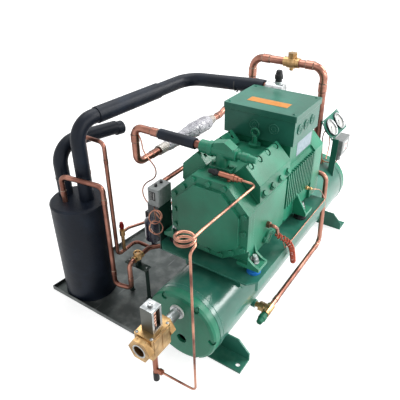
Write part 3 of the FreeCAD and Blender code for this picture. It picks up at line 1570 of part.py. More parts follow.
def angle_valve():
    """The condenser's liquid outlet: stub, hexagon nut, body and spindle neck."""
    out = vector(1, 0, 0)
    stub_x = "sqrt(shell_radius * shell_radius - liquid_drop * liquid_drop) - shell_wall"
    start = point((stub_x, "liquid_y", liquid_z))
    reach = num("liquid_x - (%s)" % stub_x)
    stub = Part.makeCylinder(num("liquid_pipe"), reach, start, out)
    nut = hexagon(num("nut_radius") * 1.35, num("nut_height") * 1.4, point(("liquid_x - 30", "liquid_y", liquid_z)), out)
    body = drum("liquid_pipe + 6", "18", point(("liquid_x - 14", "liquid_y", liquid_z)), out)
    neck = drum("liquid_pipe + 4", "42", point(("liquid_x", "liquid_y - 24", liquid_z)), vector(0, 1, 0))
    whole = stub.fuse([nut, body, neck]).removeSplitter()
    socket = drum("liquid_pipe + skin_gap * 0.5", "8", point(("liquid_x", "liquid_y + 10", liquid_z)), vector(0, 1, 0))
    return ready("liquid_angle_valve", [whole.cut(socket)])


# Pressure controls and gauges

def control_bracket():
    """An upright plate on the rail's left edge that carries the controls."""
    plate = new_body("control_bracket")
    outline = rect("control_front_y", "bracket_low", "control_back_y", "control_top - 1")
    pad(plate, "YZ_Plane", [outline], "-rail_half - bracket_sheet", "-rail_half")
    return place(plate)


def pressure_control():
    """A sheet box, open on the bracket's side, with the switch block under it."""
    box = new_body("pressure_control")
    side = "-rail_half - bracket_sheet"
    outline = rect("control_left", "control_front_y", side, "control_back_y")
    within = rect("control_left + control_sheet", "control_front_y + control_sheet", side + " - control_sheet",
                  "control_back_y - control_sheet")
    pad(box, "XY_Plane", [outline], "control_bottom", "control_top")
    cut(box, "XY_Plane", [within], "control_bottom", "control_top - control_sheet")
    return place(box)


def pressure_bellows():
    """The black block under the control, with its round pressure cell."""
    block = new_body("pressure_bellows")
    side = "-rail_half - bracket_sheet"
    middle = "(control_front_y + control_back_y) * 0.5"
    outline = centred("21", "24", side + " - 21", middle)
    pad(block, "XY_Plane", [outline], "control_bottom - 40", "control_bottom")
    rounded(block, lambda edge: straight(edge, vector(0, 0, 1)), "head_round")
    pad(block, "XY_Plane", [(side + " - 21", middle, "17")], "control_bottom - 62", "control_bottom - 39")
    return place(block)


def gauge_panel():
    """A tilted sheet with two gauge holes and a folded lip along its low edge."""
    panel = new_body("gauge_panel")
    outline = rect("0", "0", "panel_wide", "panel_long")
    holes = [("panel_wide * 0.5", along, "gauge_can + skin_gap") for along in gauge_rows()]
    pad(panel, "XY_Plane", [outline] + holes, "-panel_sheet", "0")
    return place(panel, panel_origin(), turn(vector(0, 1, 0), num("panel_tilt")))


def gauge_rows():
    middle = "panel_long * 0.5"
    return [middle + " - gauge_pitch * 0.5", middle + " + gauge_pitch * 0.5"]


def panel_origin():
    return ("panel_top_x", "panel_near_y", "panel_top_z")


def on_panel(thing, along, lift="0", spin=0):
    """Put a piece on the panel's middle line, with its Z axis off the panel."""
    across = "panel_wide * 0.5"
    cosine = "cos(panel_tilt)"
    sine = "sin(panel_tilt)"
    at = (
        "panel_top_x + %s * %s + (%s) * %s" % (across, cosine, lift, sine),
        "panel_near_y + " + along,
        "panel_top_z - %s * %s + (%s) * %s" % (across, sine, lift, cosine),
    )
    return place(thing, at, turn(vector(0, 1, 0), num("panel_tilt")).multiply(turn(vector(0, 0, 1), spin)))


def gauge(label, along):
    """A round can with a rim in front of the panel and a sunk dial."""
    profile = [
        ("0", "-gauge_behind"), ("gauge_can", "-gauge_behind"), ("gauge_can", "0"), ("gauge_rim", "0"),
        ("gauge_rim", "gauge_front"), ("gauge_can", "gauge_front"), ("gauge_can", "gauge_front - dial_drop"),
        ("pivot_radius + fit_gap", "gauge_front - dial_drop"), ("pivot_radius + fit_gap", "gauge_front - dial_drop - 4"),
        ("0", "gauge_front - dial_drop - 4"),
    ]
    made = turned(label, profile, ("0", "0", "0"))
    return on_panel(made, along)


def pointer(label, along):
    """A thin pointer on a pivot pin that turns in the dial."""
    made = new_body(label)
    low = "gauge_front - dial_drop + 1"
    needle = [
        ("-pivot_radius", "-6"), ("pivot_radius", "-6"), ("pivot_radius * 0.4", "pointer_length"),
        ("-pivot_radius * 0.4", "pointer_length"),
    ]
    pad(made, "XY_Plane", [("0", "0", "pivot_radius * 2")], low, low + " + pointer_thick")
    pad(made, "XY_Plane", [needle], low, low + " + pointer_thick")
    pad(made, "XY_Plane", [("0", "0", "pivot_radius")], low + " - 4", low + " + pointer_thick")
    return on_panel(made, along, "0", -135)

def panel_post():
    """An angle post from the shell up to the panel's low edge."""
    post = new_body("panel_post")
    out = post_x()
    corner = [
        (out, "panel_near_y + 2"), (out + " + post_wide", "panel_near_y + 2"),
        (out + " + post_wide", "panel_near_y + 2 + post_sheet"), (out + " + post_sheet", "panel_near_y + 2 + post_sheet"),
        (out + " + post_sheet", "panel_near_y + 2 + post_wide"), (out, "panel_near_y + 2 + post_wide"),
    ]
    pad(post, "XY_Plane", [corner], shell_z + " + saddle_drop", "switch_high + 4")
    seat = ("0", shell_z, "shell_radius + skin_gap")
    cut(post, "XZ_Plane", [seat], "panel_near_y", "panel_near_y + 4 + post_wide")
    return place(post)


def post_x():
    return "(panel_top_x + panel_wide * cos(panel_tilt) + skin_gap)"


def pressure_switch():
    """A box beside the post, on a brass fitting with its pressure line."""
    box = new_body("pressure_switch")
    low_x = post_x() + " + post_sheet + skin_gap"
    low_y = "panel_near_y + 2 + post_sheet + skin_gap"
    outline = rect(low_x, low_y, low_x + " + switch_deep", low_y + " + switch_long")
    pad(box, "XY_Plane", [outline], "switch_low", "switch_high")
    rounded(box, lambda edge: straight(edge, vector(0, 0, 1)), "head_round")
    middle = (low_x + " + switch_deep * 0.5", low_y + " + 30", "elbow_radius + 4")
    pad(box, "XY_Plane", [middle], "switch_low - 30", "switch_low + 1")
    return place(box)


# Water valve on the front water box

def water_nipple():
    """A threaded pipe nipple between the water box and the valve."""
    nipple = new_body("water_nipple")
    rings = [("0", "0", "port_radius - skin_gap"), ("0", "0", "port_radius - skin_gap - nipple_wall")]
    pad(nipple, "XZ_Plane", rings, valve_back + " - socket_depth + 1", "-" + box_y + " + box_wall")
    collar = [("0", "0", "port_radius + 4"), ("0", "0", "port_radius - skin_gap - nipple_wall")]
    pad(nipple, "XZ_Plane", [collar[0], collar[1]], "-%s - 6 - skin_gap" % box_y, "-%s - skin_gap" % box_y)
    return place(nipple, ("inlet_x", "0", inlet_z))


def water_valve_body():
    """A brass block valve: a hexagon at each end, and a fitting below with its nut."""
    body = new_body("water_valve_body")
    block = centred("valve_block_half", "valve_block_long", "0", stem_y)
    pad(body, "XY_Plane", [block], "-valve_up", "valve_up")
    rounded(body, lambda edge: straight(edge, vector(0, 0, 1)), "head_round")
    ring = hexagon_outline("valve_hex")
    pad(body, "XZ_Plane", [ring], valve_front, valve_front + " + valve_hex_long")
    pad(body, "XZ_Plane", [ring], valve_back + " - valve_hex_long", valve_back)
    pad(body, "XY_Plane", [("0", stem_y, "valve_boss")], "-valve_down", "-valve_up + 1")
    pad(body, "XY_Plane", [("0", stem_y, "low_fitting_radius")], "-low_fitting_down", "-valve_down + 1")
    arm_z = "-capillary_drop"
    pad(body, "YZ_Plane", [(stem_y, arm_z, "low_arm_radius")], "0", "low_arm")
    pad(body, "YZ_Plane", [(stem_y, arm_z, "low_nut")], "low_arm - low_nut_long", "low_arm - 2")
    cut(body, "XZ_Plane", [("0", "0", "valve_bore")], valve_front, valve_back)
    cut(body, "XZ_Plane", [("0", "0", "valve_socket")], valve_front, valve_front + " + valve_socket_deep")
    socket = [("0", "0", "port_radius")]
    cut(body, "XZ_Plane", socket, valve_back + " - socket_depth", valve_back)
    guide = [("0", stem_y, "stem_radius + fit_gap")]
    cut(body, "XY_Plane", guide, "0", "valve_up")
    return place(body, ("inlet_x", "0", inlet_z))


def hexagon_outline(radius):
    corners = []
    for step in range(6):
        corners.append(("%s * cos(%d)" % (radius, 60 * step), "%s * sin(%d)" % (radius, 60 * step)))
    return corners


def water_valve_housing():
    """A bent plate round the spring, with a window on its left and right."""
    housing = new_body("water_valve_housing")
    sheet_in = "housing_half - housing_sheet"
    outline = centred("housing_half", "housing_half", "0", stem_y)
    pad(housing, "XY_Plane", [outline], "valve_up", "valve_up + housing_tall")
    hollow = centred(sheet_in, sheet_in, "0", stem_y)
    cut(housing, "XY_Plane", [hollow], "valve_up + housing_sheet", "valve_up + housing_tall - housing_sheet")
    window = centred("housing_half", "housing_window", "0", stem_y)
    cut(housing, "XY_Plane", [window], "valve_up + housing_border", "valve_up + housing_tall - housing_border")
    hole = [("0", stem_y, "stem_radius + skin_gap")]
    cut(housing, "XY_Plane", hole, "valve_up", "valve_up + housing_sheet")
    hole = [("0", stem_y, "screw_radius * 0.7 + fit_gap")]
    cut(housing, "XY_Plane", hole, "valve_up + housing_tall - housing_sheet", "valve_up + housing_tall")
    return place(housing, ("inlet_x", "0", inlet_z))


def water_valve_stem():
    """The sprung stem: a rod with the plate that the spring presses on."""
    stem = new_body("water_valve_stem")
    plate_low = "valve_up + housing_sheet + 2"
    pad(stem, "XY_Plane", [("0", stem_y, "stem_radius")], "valve_bore + 2", plate_low)
    pad(stem, "XY_Plane", [("0", stem_y, "spring_radius + 3")], plate_low, plate_low + " + housing_sheet")
    return place(stem, ("inlet_x", "0", inlet_z))


def spring_range():
    low = "valve_up + housing_sheet * 2 + 2 + skin_gap"
    high = "valve_up + housing_tall - housing_sheet * 2 - skin_gap * 2"
    return low, high


def water_valve_spring():
    """The coil spring between the stem's plate and the adjusting screw."""
    low, high = spring_range()
    wire = num("spring_wire")
    rise = num("(%s) - (%s)" % (high, low)) - 2 * wire
    helix = Part.makeHelix(rise / num("spring_turns"), rise, num("spring_radius"))
    start = vector(num("spring_radius"), 0, 0)
    rim = Part.Wire([Part.Circle(start, vector(0, 1, 0), wire).toShape()])
    spring = Part.Wire(helix).makePipeShell([rim], True, True)
    spring.translate(point(("inlet_x", stem_y, "%s + %s + %f" % (inlet_z, low, wire))))
    return ready("water_valve_spring", [spring])


def water_valve_screw():
    """The adjusting screw: a slotted head over the housing, a plate inside it."""
    screw = new_body("water_valve_screw")
    top = "valve_up + housing_tall"
    plate_high = top + " - housing_sheet - skin_gap"
    pad(screw, "XY_Plane", [("0", stem_y, "spring_radius + 3")], plate_high + " - housing_sheet", plate_high)
    pad(screw, "XY_Plane", [("0", stem_y, "screw_radius * 0.7")], plate_high, top + " + skin_gap")
    pad(screw, "XY_Plane", [("0", stem_y, "screw_radius")], top + " + skin_gap", top + " + 7")
    slot = centred("screw_radius + 1", "1", "0", stem_y)
    cut(screw, "XY_Plane", [slot], top + " + 4", top + " + 7")
    return place(screw, ("inlet_x", "0", inlet_z))


def water_valve_cap():
    """The black cap over the valve's lower fitting."""
    profile = [
        ("0", "0"), ("low_cap_radius", "0"), ("low_cap_radius", "low_cap_long - 4"),
        ("low_cap_radius - 3", "low_cap_long"), ("0", "low_cap_long"),
    ]
    at = ("inlet_x", stem_y, inlet_z + " - low_fitting_down")
    return turned("water_valve_cap", profile, at, down)


def capillary():
    """The stiff control line: low run, upright, two loops, and back to the valve."""
    nut_edge = "inlet_x + low_arm + skin_gap"
    points = [
        point((nut_edge, stem_y, capillary_low)), point(("capillary_x", "capillary_y", capillary_low + " + 4")),
    ]
    # The loops lie on the near side of the upright, which meets them at a tangent
    centre = point(("capillary_x - loop_radius", "capillary_y", "capillary_high - 2 * loop_pitch"))
    corner_radius = num("loop_radius") / math.cos(math.radians(30))
    points.append(point(("capillary_x", "capillary_y - loop_radius * 0.6", "capillary_high - 2.4 * loop_pitch")))
    turns = 12
    for step in range(turns):
        angle = math.radians(60 * step + 30)
        rise = num("loop_pitch") * (step + 0.5) / 6
        points.append(centre + vector(corner_radius * math.cos(angle), corner_radius * math.sin(angle), rise))
    points.append(point(("capillary_x", "capillary_y + 40", "capillary_high")))
    points.append(point(("capillary_x", "service_y", service_z)))
    points.append(point(("service_x + 26 + skin_gap", "service_y", service_z)))
    return points


def capillary_node():
    """One tube along the control line's stops, with bends that suit each run."""
    points = capillary()
    edges = []
    last = points[0]
    for index in range(1, len(points) - 1):
        corner = points[index]
        into = corner - points[index - 1]
        away = points[index + 1] - corner
        half = into.getAngle(away) / 2
        shortest = min(into.Length, away.Length)
        setback = min(0.45 * shortest, 14 * math.tan(half) + 2)
        into.normalize()
        away.normalize()
        bend = setback / math.tan(half)
        start = corner - into * setback
        end = corner + away * setback
        middle = corner + (away - into).normalize() * (bend / math.cos(half) - bend)
        edges.append(Part.LineSegment(last, start).toShape())
        edges.append(Part.Arc(start, middle, end).toShape())
        last = end
    edges.append(Part.LineSegment(last, points[-1]).toShape())
    return ready("capillary", [checked_sweep(Part.Wire(edges), num("capillary_radius"))])


# The heater's curly lead, as a fat tube: it leaves the elbow, clears the rail's edge and ends bare
lead_stops = [
    (elbow_x, "fitting_y + 22.2", fitting_z + " - 34.5"),
    (elbow_x, "fitting_y + 26.5", fitting_z + " - 47.3"),
    ("rail_half - 3", "fitting_y + 35", fitting_z + " - 55"),
    ("rail_half + 10", "fitting_y + 46", rail_z + " + 22"),
    ("rail_half + 15", "fitting_y + 58", rail_z + " - 5"),
    ("rail_half + 14", "fitting_y + 73", rail_z + " - 40"),
    ("rail_half + 11", "fitting_y + 91", rail_z + " - 76"),
]


def heater_lead():
    points = [point(stop) for stop in lead_stops]
    edges = []
    last = points[0]
    for index in range(1, len(points) - 1):
        corner = points[index]
        into = corner - points[index - 1]
        away = points[index + 1] - corner
        half = into.getAngle(away) / 2
        setback = 0.45 * min(into.Length, away.Length)
        bend = setback / math.tan(half)
        print("heater lead: arc radius %.1f mm" % bend)
        into.normalize()
        away.normalize()
        start = corner - into * setback
        end = corner + away * setback
        middle = corner + (away - into).normalize() * (bend / math.cos(half) - bend)
        edges.append(Part.LineSegment(last, start).toShape())
        edges.append(Part.Arc(start, middle, end).toShape())
        last = end
    edges.append(Part.LineSegment(last, points[-1]).toShape())
    return ready("heater_lead", [checked_sweep(Part.Wire(edges), num("lead_radius"))])


def build_condenser():
    made = [condenser_shell(), condenser_tubes()]
    sheets = [tube_sheet("front_tube_sheet", "-" + cap_y, "-shell_half")]
    sheets.append(tube_sheet("rear_tube_sheet", "shell_half", cap_y))
    made.append(group("tube_sheets", sheets))
    ports = [("inlet_x", "inlet_rise", "port_radius"), ("outlet_x", "-outlet_drop", "port_radius")]
    made.append(water_box("front_water_box", ports, front))
    made.append(water_box("rear_water_box", [], back))
    made.append(water_box_bolts())
    made.append(group("feet", [foot("front_foot", turn()), foot("rear_foot", turn(vector(0, 0, 1), 180))]))
    made.append(mounting_rail())
    rows = ("damper_front_y", "damper_back_y")
    made.append(group("rail_saddles", [rail_saddle(row + "_saddle", row) for row in rows]))
    made.append(group("dampers", [dampers(row + "_pair", row) for row in rows]))
    made.append(damper_bolts())
    return made


def build_compressor():
    made = [compressor_housing(), bearing_cover(), motor_cover()]
    made.append(group("compressor_bolts", [cover_bolts(), motor_cover_bolts(), head_bolts(), flange_bolts()]))
    first = "bank_y - bore_pitch * 0.5"
    second = "bank_y + bore_pitch * 0.5"
    plates = []
    for name, side in (("right", 1), ("left", -1)):
        plates.append(valve_plate(name + "_valve_plate", side))
        made.append(cylinder_head(name + "_cylinder_head", side))
        made.append(piston(name + "_front_piston", side, first, "crank_throw * 0.29289"))
        made.append(piston(name + "_rear_piston", side, second, "crank_throw * 1.70711"))
    made.append(group("valve_plates", plates))
    made += [crankshaft()] + motor_parts()
    made += [discharge_valve(), suction_valve(), terminal_box(), terminal_lid()]
    made += [lifting_eye(), oil_sight_glass()]
    return made


def build_caps():
    """The caps that screw over the valves' spindles."""
    places = [
        ("discharge_spindle_cap", ("discharge_right", "discharge_y", discharge_z), right,
         "spindle_radius", "spindle_length"),
        ("suction_spindle_cap", ("suction_x", "suction_y", suction_z + " + suction_barrel + 6"), up,
         "suction_cap_radius", "suction_cap_length"),
        ("service_valve_cap", ("service_x - 26", "service_y", service_z), left,
         "service_radius + 1", "spindle_length * 0.6"),
        ("charging_valve_cap", ("arch_x", "charge_y", "charge_branch + 14"), up,
         "charge_radius - 1", "spindle_length * 0.5"),
        ("liquid_spindle_cap", ("liquid_x", "liquid_y - 24", liquid_z), front,
         "spindle_radius", "spindle_length * 0.75"),
    ]
    caps = [spindle_cap(label, at, facing, "(%s)" % radius, "(%s)" % length)
            for label, at, facing, radius, length in places]
    return [caps[0], group("valve_caps", caps[1:] + [water_valve_cap()])]


def build_lines():
    made = [group("discharge_pipes", [discharge_pipe(), separator_inlet_pipe()]), vibration_absorber()]
    made += [oil_separator(), hot_gas_pipe(), check_valve(), accumulator(), accumulator_foam()]
    suction = pipe("suction_pipe", suction_stops(), "hot_pipe", "foam_bend")
    returning = pipe("return_pipe", return_stops(), "hot_pipe", "foam_bend")
    made.append(group("suction_pipes", [suction, returning]))
    covers = [discharge_sleeve(), foam("suction_foam", suction_stops(), "socket_depth + 8")]
    covers.append(foam("return_foam", return_stops(), "socket_depth * 2"))
    made.append(group("line_foam", covers))
    lines = liquid_lines()
    oil_return, coil = oil_return_parts()
    made += [lines[0], group("tray_pipes", lines[1:] + [oil_return]), filter_drier()]
    made.append(group("brass_valves", [liquid_sight_glass(), charging_valve(), angle_valve(), service_valve()]))
    controls = [pressure_control(), pressure_bellows(), pressure_switch(), coil]
    made.append(group("pressure_controls", controls))
    return made


def build_controls():
    made = [group("sheet_brackets", [control_bracket(), gauge_panel(), panel_post(), line_stand()])]
    cases = []
    for name, along in zip(("near", "far"), gauge_rows()):
        cases.append(gauge(name + "_gauge", along))
        made.append(pointer(name + "_pointer", along))
    made.append(group("gauge_cases", cases))
    return made


def build_water_valve():
    made = [water_nipple(), water_valve_body(), water_valve_housing(), water_valve_stem()]
    made += [water_valve_spring(), water_valve_screw(), heater_lead()]
    made.append(group("capillaries", [capillary_node(), oil_fitting()]))
    return made


def failed(thing):
    return any(word in ("Invalid", "Error") for word in thing.State)


def write(parts):
    """Check every piece, then write each to a file of its own."""
    doc.recompute()
    for thing in doc.Objects:
        if failed(thing):
            raise RuntimeError("%s failed: %s" % (thing.Label, thing.State))
    for part in parts:
        if part.Shape.isNull() or not part.Shape.isValid():
            raise RuntimeError(part.Label + " has no valid shape")
    os.makedirs("parts", exist_ok=True)
    for part in parts:
        part.Shape.exportStep("parts/%s.step" % part.Label)


fill_sheet()
write(build_condenser() + [drip_tray()] + build_compressor() + build_caps() + build_lines() +
      build_controls() + build_water_valve())
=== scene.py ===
import bmesh
import bpy
import math
import random
from mathutils import Matrix, Vector, noise


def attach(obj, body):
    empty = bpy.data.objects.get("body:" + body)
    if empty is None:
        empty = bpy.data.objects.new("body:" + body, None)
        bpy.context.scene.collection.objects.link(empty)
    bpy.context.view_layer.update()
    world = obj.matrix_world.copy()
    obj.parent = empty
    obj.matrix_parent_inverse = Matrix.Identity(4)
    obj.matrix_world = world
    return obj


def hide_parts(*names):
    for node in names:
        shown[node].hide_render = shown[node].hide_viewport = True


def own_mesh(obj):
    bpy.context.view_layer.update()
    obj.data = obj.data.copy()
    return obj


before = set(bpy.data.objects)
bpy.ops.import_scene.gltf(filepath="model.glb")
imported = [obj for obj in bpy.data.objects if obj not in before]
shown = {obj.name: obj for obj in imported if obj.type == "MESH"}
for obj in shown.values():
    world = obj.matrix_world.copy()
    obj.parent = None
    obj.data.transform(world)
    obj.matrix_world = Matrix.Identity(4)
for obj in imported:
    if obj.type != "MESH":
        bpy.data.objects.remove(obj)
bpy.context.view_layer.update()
print("frame loaded")

# Shader maths: a wire stands for a socket, and Python's operators add the nodes


class Wire:
    def __init__(self, tree, socket):
        self.tree = tree
        self.socket = socket

    def maths(self, operation, first, second=0.0):
        return addNode(self.tree, "ShaderNodeMath", {"operation": operation}, {0: first, 1: second})

    def __add__(self, other):
        return self.maths("ADD", self, other)

    __radd__ = __add__

    def __sub__(self, other):
        return self.maths("SUBTRACT", self, other)

    def __rsub__(self, other):
        return self.maths("SUBTRACT", other, self)

    def __mul__(self, other):
        return self.maths("MULTIPLY", self, other)

    __rmul__ = __mul__

    def above(self, low, high):  # 0 below low, 1 above high, soft between
        ends = {"Value": self, "From Min": low, "From Max": high}
        return addNode(self.tree, "ShaderNodeMapRange", {"interpolation_type": "SMOOTHSTEP"}, ends)


def addNode(tree, kind, settings=None, inputs=None, output=0):
    made = tree.nodes.new(kind)
    for name, value in (settings or {}).items():
        setattr(made, name, value)
    for name, value in (inputs or {}).items():
        if isinstance(value, Wire):
            tree.links.new(value.socket, made.inputs[name])
        else:
            made.inputs[name].default_value = value
    return Wire(tree, made.outputs[output])


plainSockets = {"roughness": "Roughness", "metallic": "Metallic", "coat": "Coat Weight",
                "coatRoughness": "Coat Roughness", "gloss": "Specular IOR Level"}


class Finish:
    # one material, with its Principled shader and the object's own coordinates
    def __init__(self, name, **plain):
        self.material = bpy.data.materials.new(name)
        self.material.use_nodes = True
        self.tree = self.material.node_tree
        self.shader = self.tree.nodes["Principled BSDF"]
        self.spot = self.node("ShaderNodeTexCoord", output="Object")
        self.facing = self.node("ShaderNodeNewGeometry", output="Normal")
        for word, value in plain.items():
            self.set(plainSockets[word], value)

    def node(self, kind, settings=None, inputs=None, output=0):
        return addNode(self.tree, kind, settings, inputs, output)

    def set(self, socket, value):
        if isinstance(value, Wire):
            self.tree.links.new(value.socket, self.shader.inputs[socket])
        else:
            self.shader.inputs[socket].default_value = value

    def grain(self, scale, detail=3, stretch=None):
        spot = self.spot
        if stretch:
            spot = self.node("ShaderNodeMapping", None, {"Vector": spot, "Scale": stretch})
        return self.node("ShaderNodeTexNoise", None, {"Vector": spot, "Scale": scale, "Detail": detail})

    def mix(self, factor, first, second):
        tones = [tone if isinstance(tone, Wire) else (*tone, 1) for tone in (first, second)]
        return self.node("ShaderNodeMix", {"data_type": "RGBA"}, {0: factor, 6: tones[0], 7: tones[1]}, 2)

    def vector(self, operation, *ends):
        return self.node("ShaderNodeVectorMath", {"operation": operation}, dict(enumerate(ends)), "Value")

    def split(self, vector, axis):
        return self.node("ShaderNodeSeparateXYZ", None, {0: vector}, axis)

    def past(self, axis, edge, soft=0.001):  # 0 before an edge along X, Y or Z, 1 past it
        return self.split(self.spot, axis).above(edge, edge + soft)

    def near(self, centre, reach):  # 1 within reach of a point
        return 1 - self.vector("DISTANCE", self.spot, centre).above(reach, reach + 0.001)

    def rounded(self, radius):
        return self.node("ShaderNodeBevel", {"samples": 4}, {"Radius": radius})

    # edges for the paler tone, which is partly wear and partly a painted highlight
    def wornAndHighlit(self, radius):  # 1 on edges, 0 on flats
        same = self.vector("DOT_PRODUCT", self.rounded(radius), self.facing)
        return (1 - same).above(0.02, 0.25)

    def bump(self, height, strength, distance, radius=0.0):
        inputs = {"Height": height, "Strength": strength, "Distance": distance}
        if radius:
            inputs["Normal"] = self.rounded(radius)
        self.set("Normal", self.node("ShaderNodeBump", None, inputs))

    def done(self, tone, roughness):
        self.set("Base Color", tone)
        self.set("Roughness", roughness)
        return self.material


halves = (0.35, 0.7)  # where a noise is parted into two tones

paintChoices = {
    # deep and lit tones: blue-green on sheet and shell, a fresher green on the castings
    "sheet": ((0.016, 0.112, 0.076), (0.03, 0.19, 0.136)),
    "cast": ((0.011, 0.132, 0.072), (0.02, 0.236, 0.136)),
    # the paler edge tone: partly worn paint, partly a painted highlight
    "wornAndHighlitEdge": (0.11, 0.4, 0.29),
    "nearBlack": (0.01, 0.03, 0.024),
    "dust": (0.11, 0.25, 0.18),
    "gloss": 0.28,
    "coatRoughness": 0.2,
    "edgeRadius": 0.0018,
    "trayEdge": -0.13,  # the brackets left of this are nearly black
    "patchScale": 7, "streakScale": 30, "dustScale": 45,
}


def paint(name, tones, skinScale, skinDepth, roughness, coat, darkLeft=False):
    # enamel over a casting or sheet: tone patches, runs, dust on top, and paler edges that are partly wear and
    # partly a painted highlight
    p = paintChoices
    made = Finish(name, coat=coat, coatRoughness=p["coatRoughness"], gloss=p["gloss"])
    deep, lit = p[tones]
    patches = made.grain(p["patchScale"], 4)
    runs = made.grain(p["streakScale"], 3, (1, 1, 0.15))
    tone = made.mix(patches.above(0.32, 0.7), deep, lit)
    tone = made.mix(runs.above(0.58, 0.8) * 0.35, tone, deep)
    # paler edges: partly worn paint, partly a painted highlight where the edges catch the light
    tone = made.mix(made.wornAndHighlit(p["edgeRadius"]) * 0.8, tone, p["wornAndHighlitEdge"])
    top = made.split(made.facing, "Z").above(0.55, 0.98)
    dust = top * made.grain(p["dustScale"], 5).above(0.35, 0.8) * 0.28
    tone = made.mix(dust, tone, p["dust"])
    if darkLeft:
        tone = made.mix(made.past("X", p["trayEdge"], 0.002), p["nearBlack"], tone)
    made.bump(made.grain(skinScale, 4), 0.35, skinDepth, p["edgeRadius"])
    return made.done(tone, patches * 0.14 + dust * 0.6 + roughness)


metalChoices = {
    # bright, dark and stained tones
    "copper": ((0.52, 0.255, 0.175), (0.15, 0.064, 0.048), (0.105, 0.06, 0.045)),
    "brownCopper": ((0.4, 0.19, 0.14), (0.15, 0.064, 0.048), (0.105, 0.06, 0.045)),
    "brass": ((0.54, 0.35, 0.165), (0.27, 0.165, 0.07), (0.105, 0.06, 0.045)),
    "spring": ((0.8, 0.5, 0.38), (0.6, 0.33, 0.24), (0.3, 0.16, 0.12)),
    "zinc": ((0.52, 0.535, 0.54), (0.23, 0.242, 0.245), (0.16, 0.16, 0.16)),
    "steel": ((0.56, 0.57, 0.58), (0.26, 0.26, 0.27), (0.12, 0.11, 0.1)),
    "iron": ((0.3, 0.3, 0.31), (0.13, 0.13, 0.13), (0.08, 0.07, 0.06)),
    "braze": ((0.3, 0.22, 0.17), (0.08, 0.05, 0.04), (0.03, 0.02, 0.02)),
    "redCopper": (0.3, 0.12, 0.08),
    # painted shade for zinc faces that look towards -Y
    "frontShadeZinc": (0.115, 0.12, 0.108),
}


def metal(name, tones, scale, roughness, redBelow=None, redNear=None, paintedFrontShade=False):
    # bare metal: bright and tarnished patches, and a fine drawn or machined grain
    made = Finish(name, metallic=1.0)
    bright, dark, stain = metalChoices[tones]
    patches = made.grain(scale, 5)
    marks = made.grain(scale * 2.7, 4).above(0.62, 0.78)
    tone = made.mix(patches.above(0.36, 0.66), bright, dark)
    tone = made.mix(marks * 0.55, tone, stain)
    if redBelow:  # the fitting under the water valve is copper-coloured
        tone = made.mix(made.past("Z", redBelow, 0.002), metalChoices["redCopper"], tone)
    if redNear:  # and so is the service valve beside the head
        tone = made.mix(made.near(*redNear), tone, metalChoices["redCopper"])
    if paintedFrontShade:  # the faces towards the water valve's mouth are darkened: painted shade
        tone = made.mix(made.split(made.facing, "Y").above(-0.9, -0.4), metalChoices["frontShadeZinc"], tone)
    made.bump(made.grain(420, 3), 0.2, 0.0002, 0.0006)
    return made.done(tone, patches * 0.25 + marks * 0.15 + roughness)


rubberChoices = {
    "foam": ((0.004, 0.007, 0.014), (0.014, 0.022, 0.038)),
    "blackRubber": ((0.012, 0.014, 0.016), (0.03, 0.033, 0.036)),
    "blueRubber": ((0.01, 0.15, 0.52), (0.016, 0.2, 0.62)),
    "blackCap": ((0.012, 0.012, 0.014), (0.038, 0.04, 0.044)),
    "redCap": ((0.42, 0.02, 0.018), (0.34, 0.014, 0.012)),
    "gloss": 0.22,
    "blueDamperAt": (0.127, -0.34, 0.3),  # at the front right; the other three are black
    "redCapAt": (-0.368, -0.318, 0.232),  # on the charging valve
    "greenCapAt": (0.15, -0.31, 0.1),  # on the liquid valve
}


def rubber(name, roughness, poreScale=None, poreDepth=None):
    # foam, rubber and moulded caps: dull, most of them with fine pores
    made = Finish(name, gloss=rubberChoices["gloss"])
    made.set("Roughness", made.grain(14, 5) * 0.2 + roughness)
    if poreScale:
        made.bump(made.grain(poreScale, 4), 0.5, poreDepth, 0.001)
    return made


def foamFinish():
    # near-black foam with a blue-grey bloom and shallow dents
    made = rubber("foamSkin", 0.36)
    made.set("Base Color", made.mix(made.grain(14, 5).above(0.4, 0.75) * 0.7, *rubberChoices["foam"]))
    made.bump(made.grain(38, 3) * 0.8 + made.grain(700, 3) * 0.12, 0.6, 0.0022)
    return made.material


def damperFinish():
    r = rubberChoices
    made = rubber("damperRubber", 0.45, 500, 0.0003)
    spots = made.grain(60, 4).above(*halves)
    black, blue = made.mix(spots, *r["blackRubber"]), made.mix(spots, *r["blueRubber"])
    made.set("Base Color", made.mix(made.near(r["blueDamperAt"], 0.045), black, blue))
    return made.material


def capFinish():
    r = rubberChoices
    made = rubber("valveCaps", 0.35, 600, 0.0002)
    spots = made.grain(14, 4).above(0.4, 0.75)
    tone = made.mix(spots, *r["blackCap"])
    red, green = made.mix(spots, *r["redCap"]), made.mix(spots, *paintChoices["cast"])
    tone = made.mix(made.near(r["redCapAt"], 0.03), tone, red)
    made.set("Base Color", made.mix(made.near(r["greenCapAt"], 0.03), tone, green))
    return made.material


braidChoices = {"x": -0.291, "z": 0.475, "strands": 12, "slant": 700,
                "shaded": (0.2, 0.18, 0.16), "bright": (0.62, 0.6, 0.56)}


def braidFinish():
    # crossed strands round the absorber, from two slanted waves
    b = braidChoices
    made = Finish("wovenBraid", metallic=1.0)
    x, z = made.split(made.spot, "X") - b["x"], made.split(made.spot, "Z") - b["z"]
    angle = made.spot.maths("ARCTAN2", z, x)
    along = made.split(made.spot, "Y")
    left, right = (made.spot.maths("SINE", angle * b["strands"] + along * slant)
                   for slant in (-b["slant"], b["slant"]))
    weave = left * right
    made.bump(weave, 0.6, 0.0008)
    return made.done(made.mix(weave.above(-0.4, 0.4), b["shaded"], b["bright"]), weave * 0.1 + 0.38)


controlChoices = {
    "pale": ((0.3, 0.31, 0.3), (0.37, 0.38, 0.365)),  # the switch at the gauges
    "shaded": ((0.17, 0.18, 0.18), (0.21, 0.222, 0.22)),  # the control over the tray
    "black": ((0.01, 0.011, 0.013), (0.024, 0.026, 0.03)),  # the block and the coil under it
    "blackTop": 0.406,
    "shadedRight": -0.05,
}


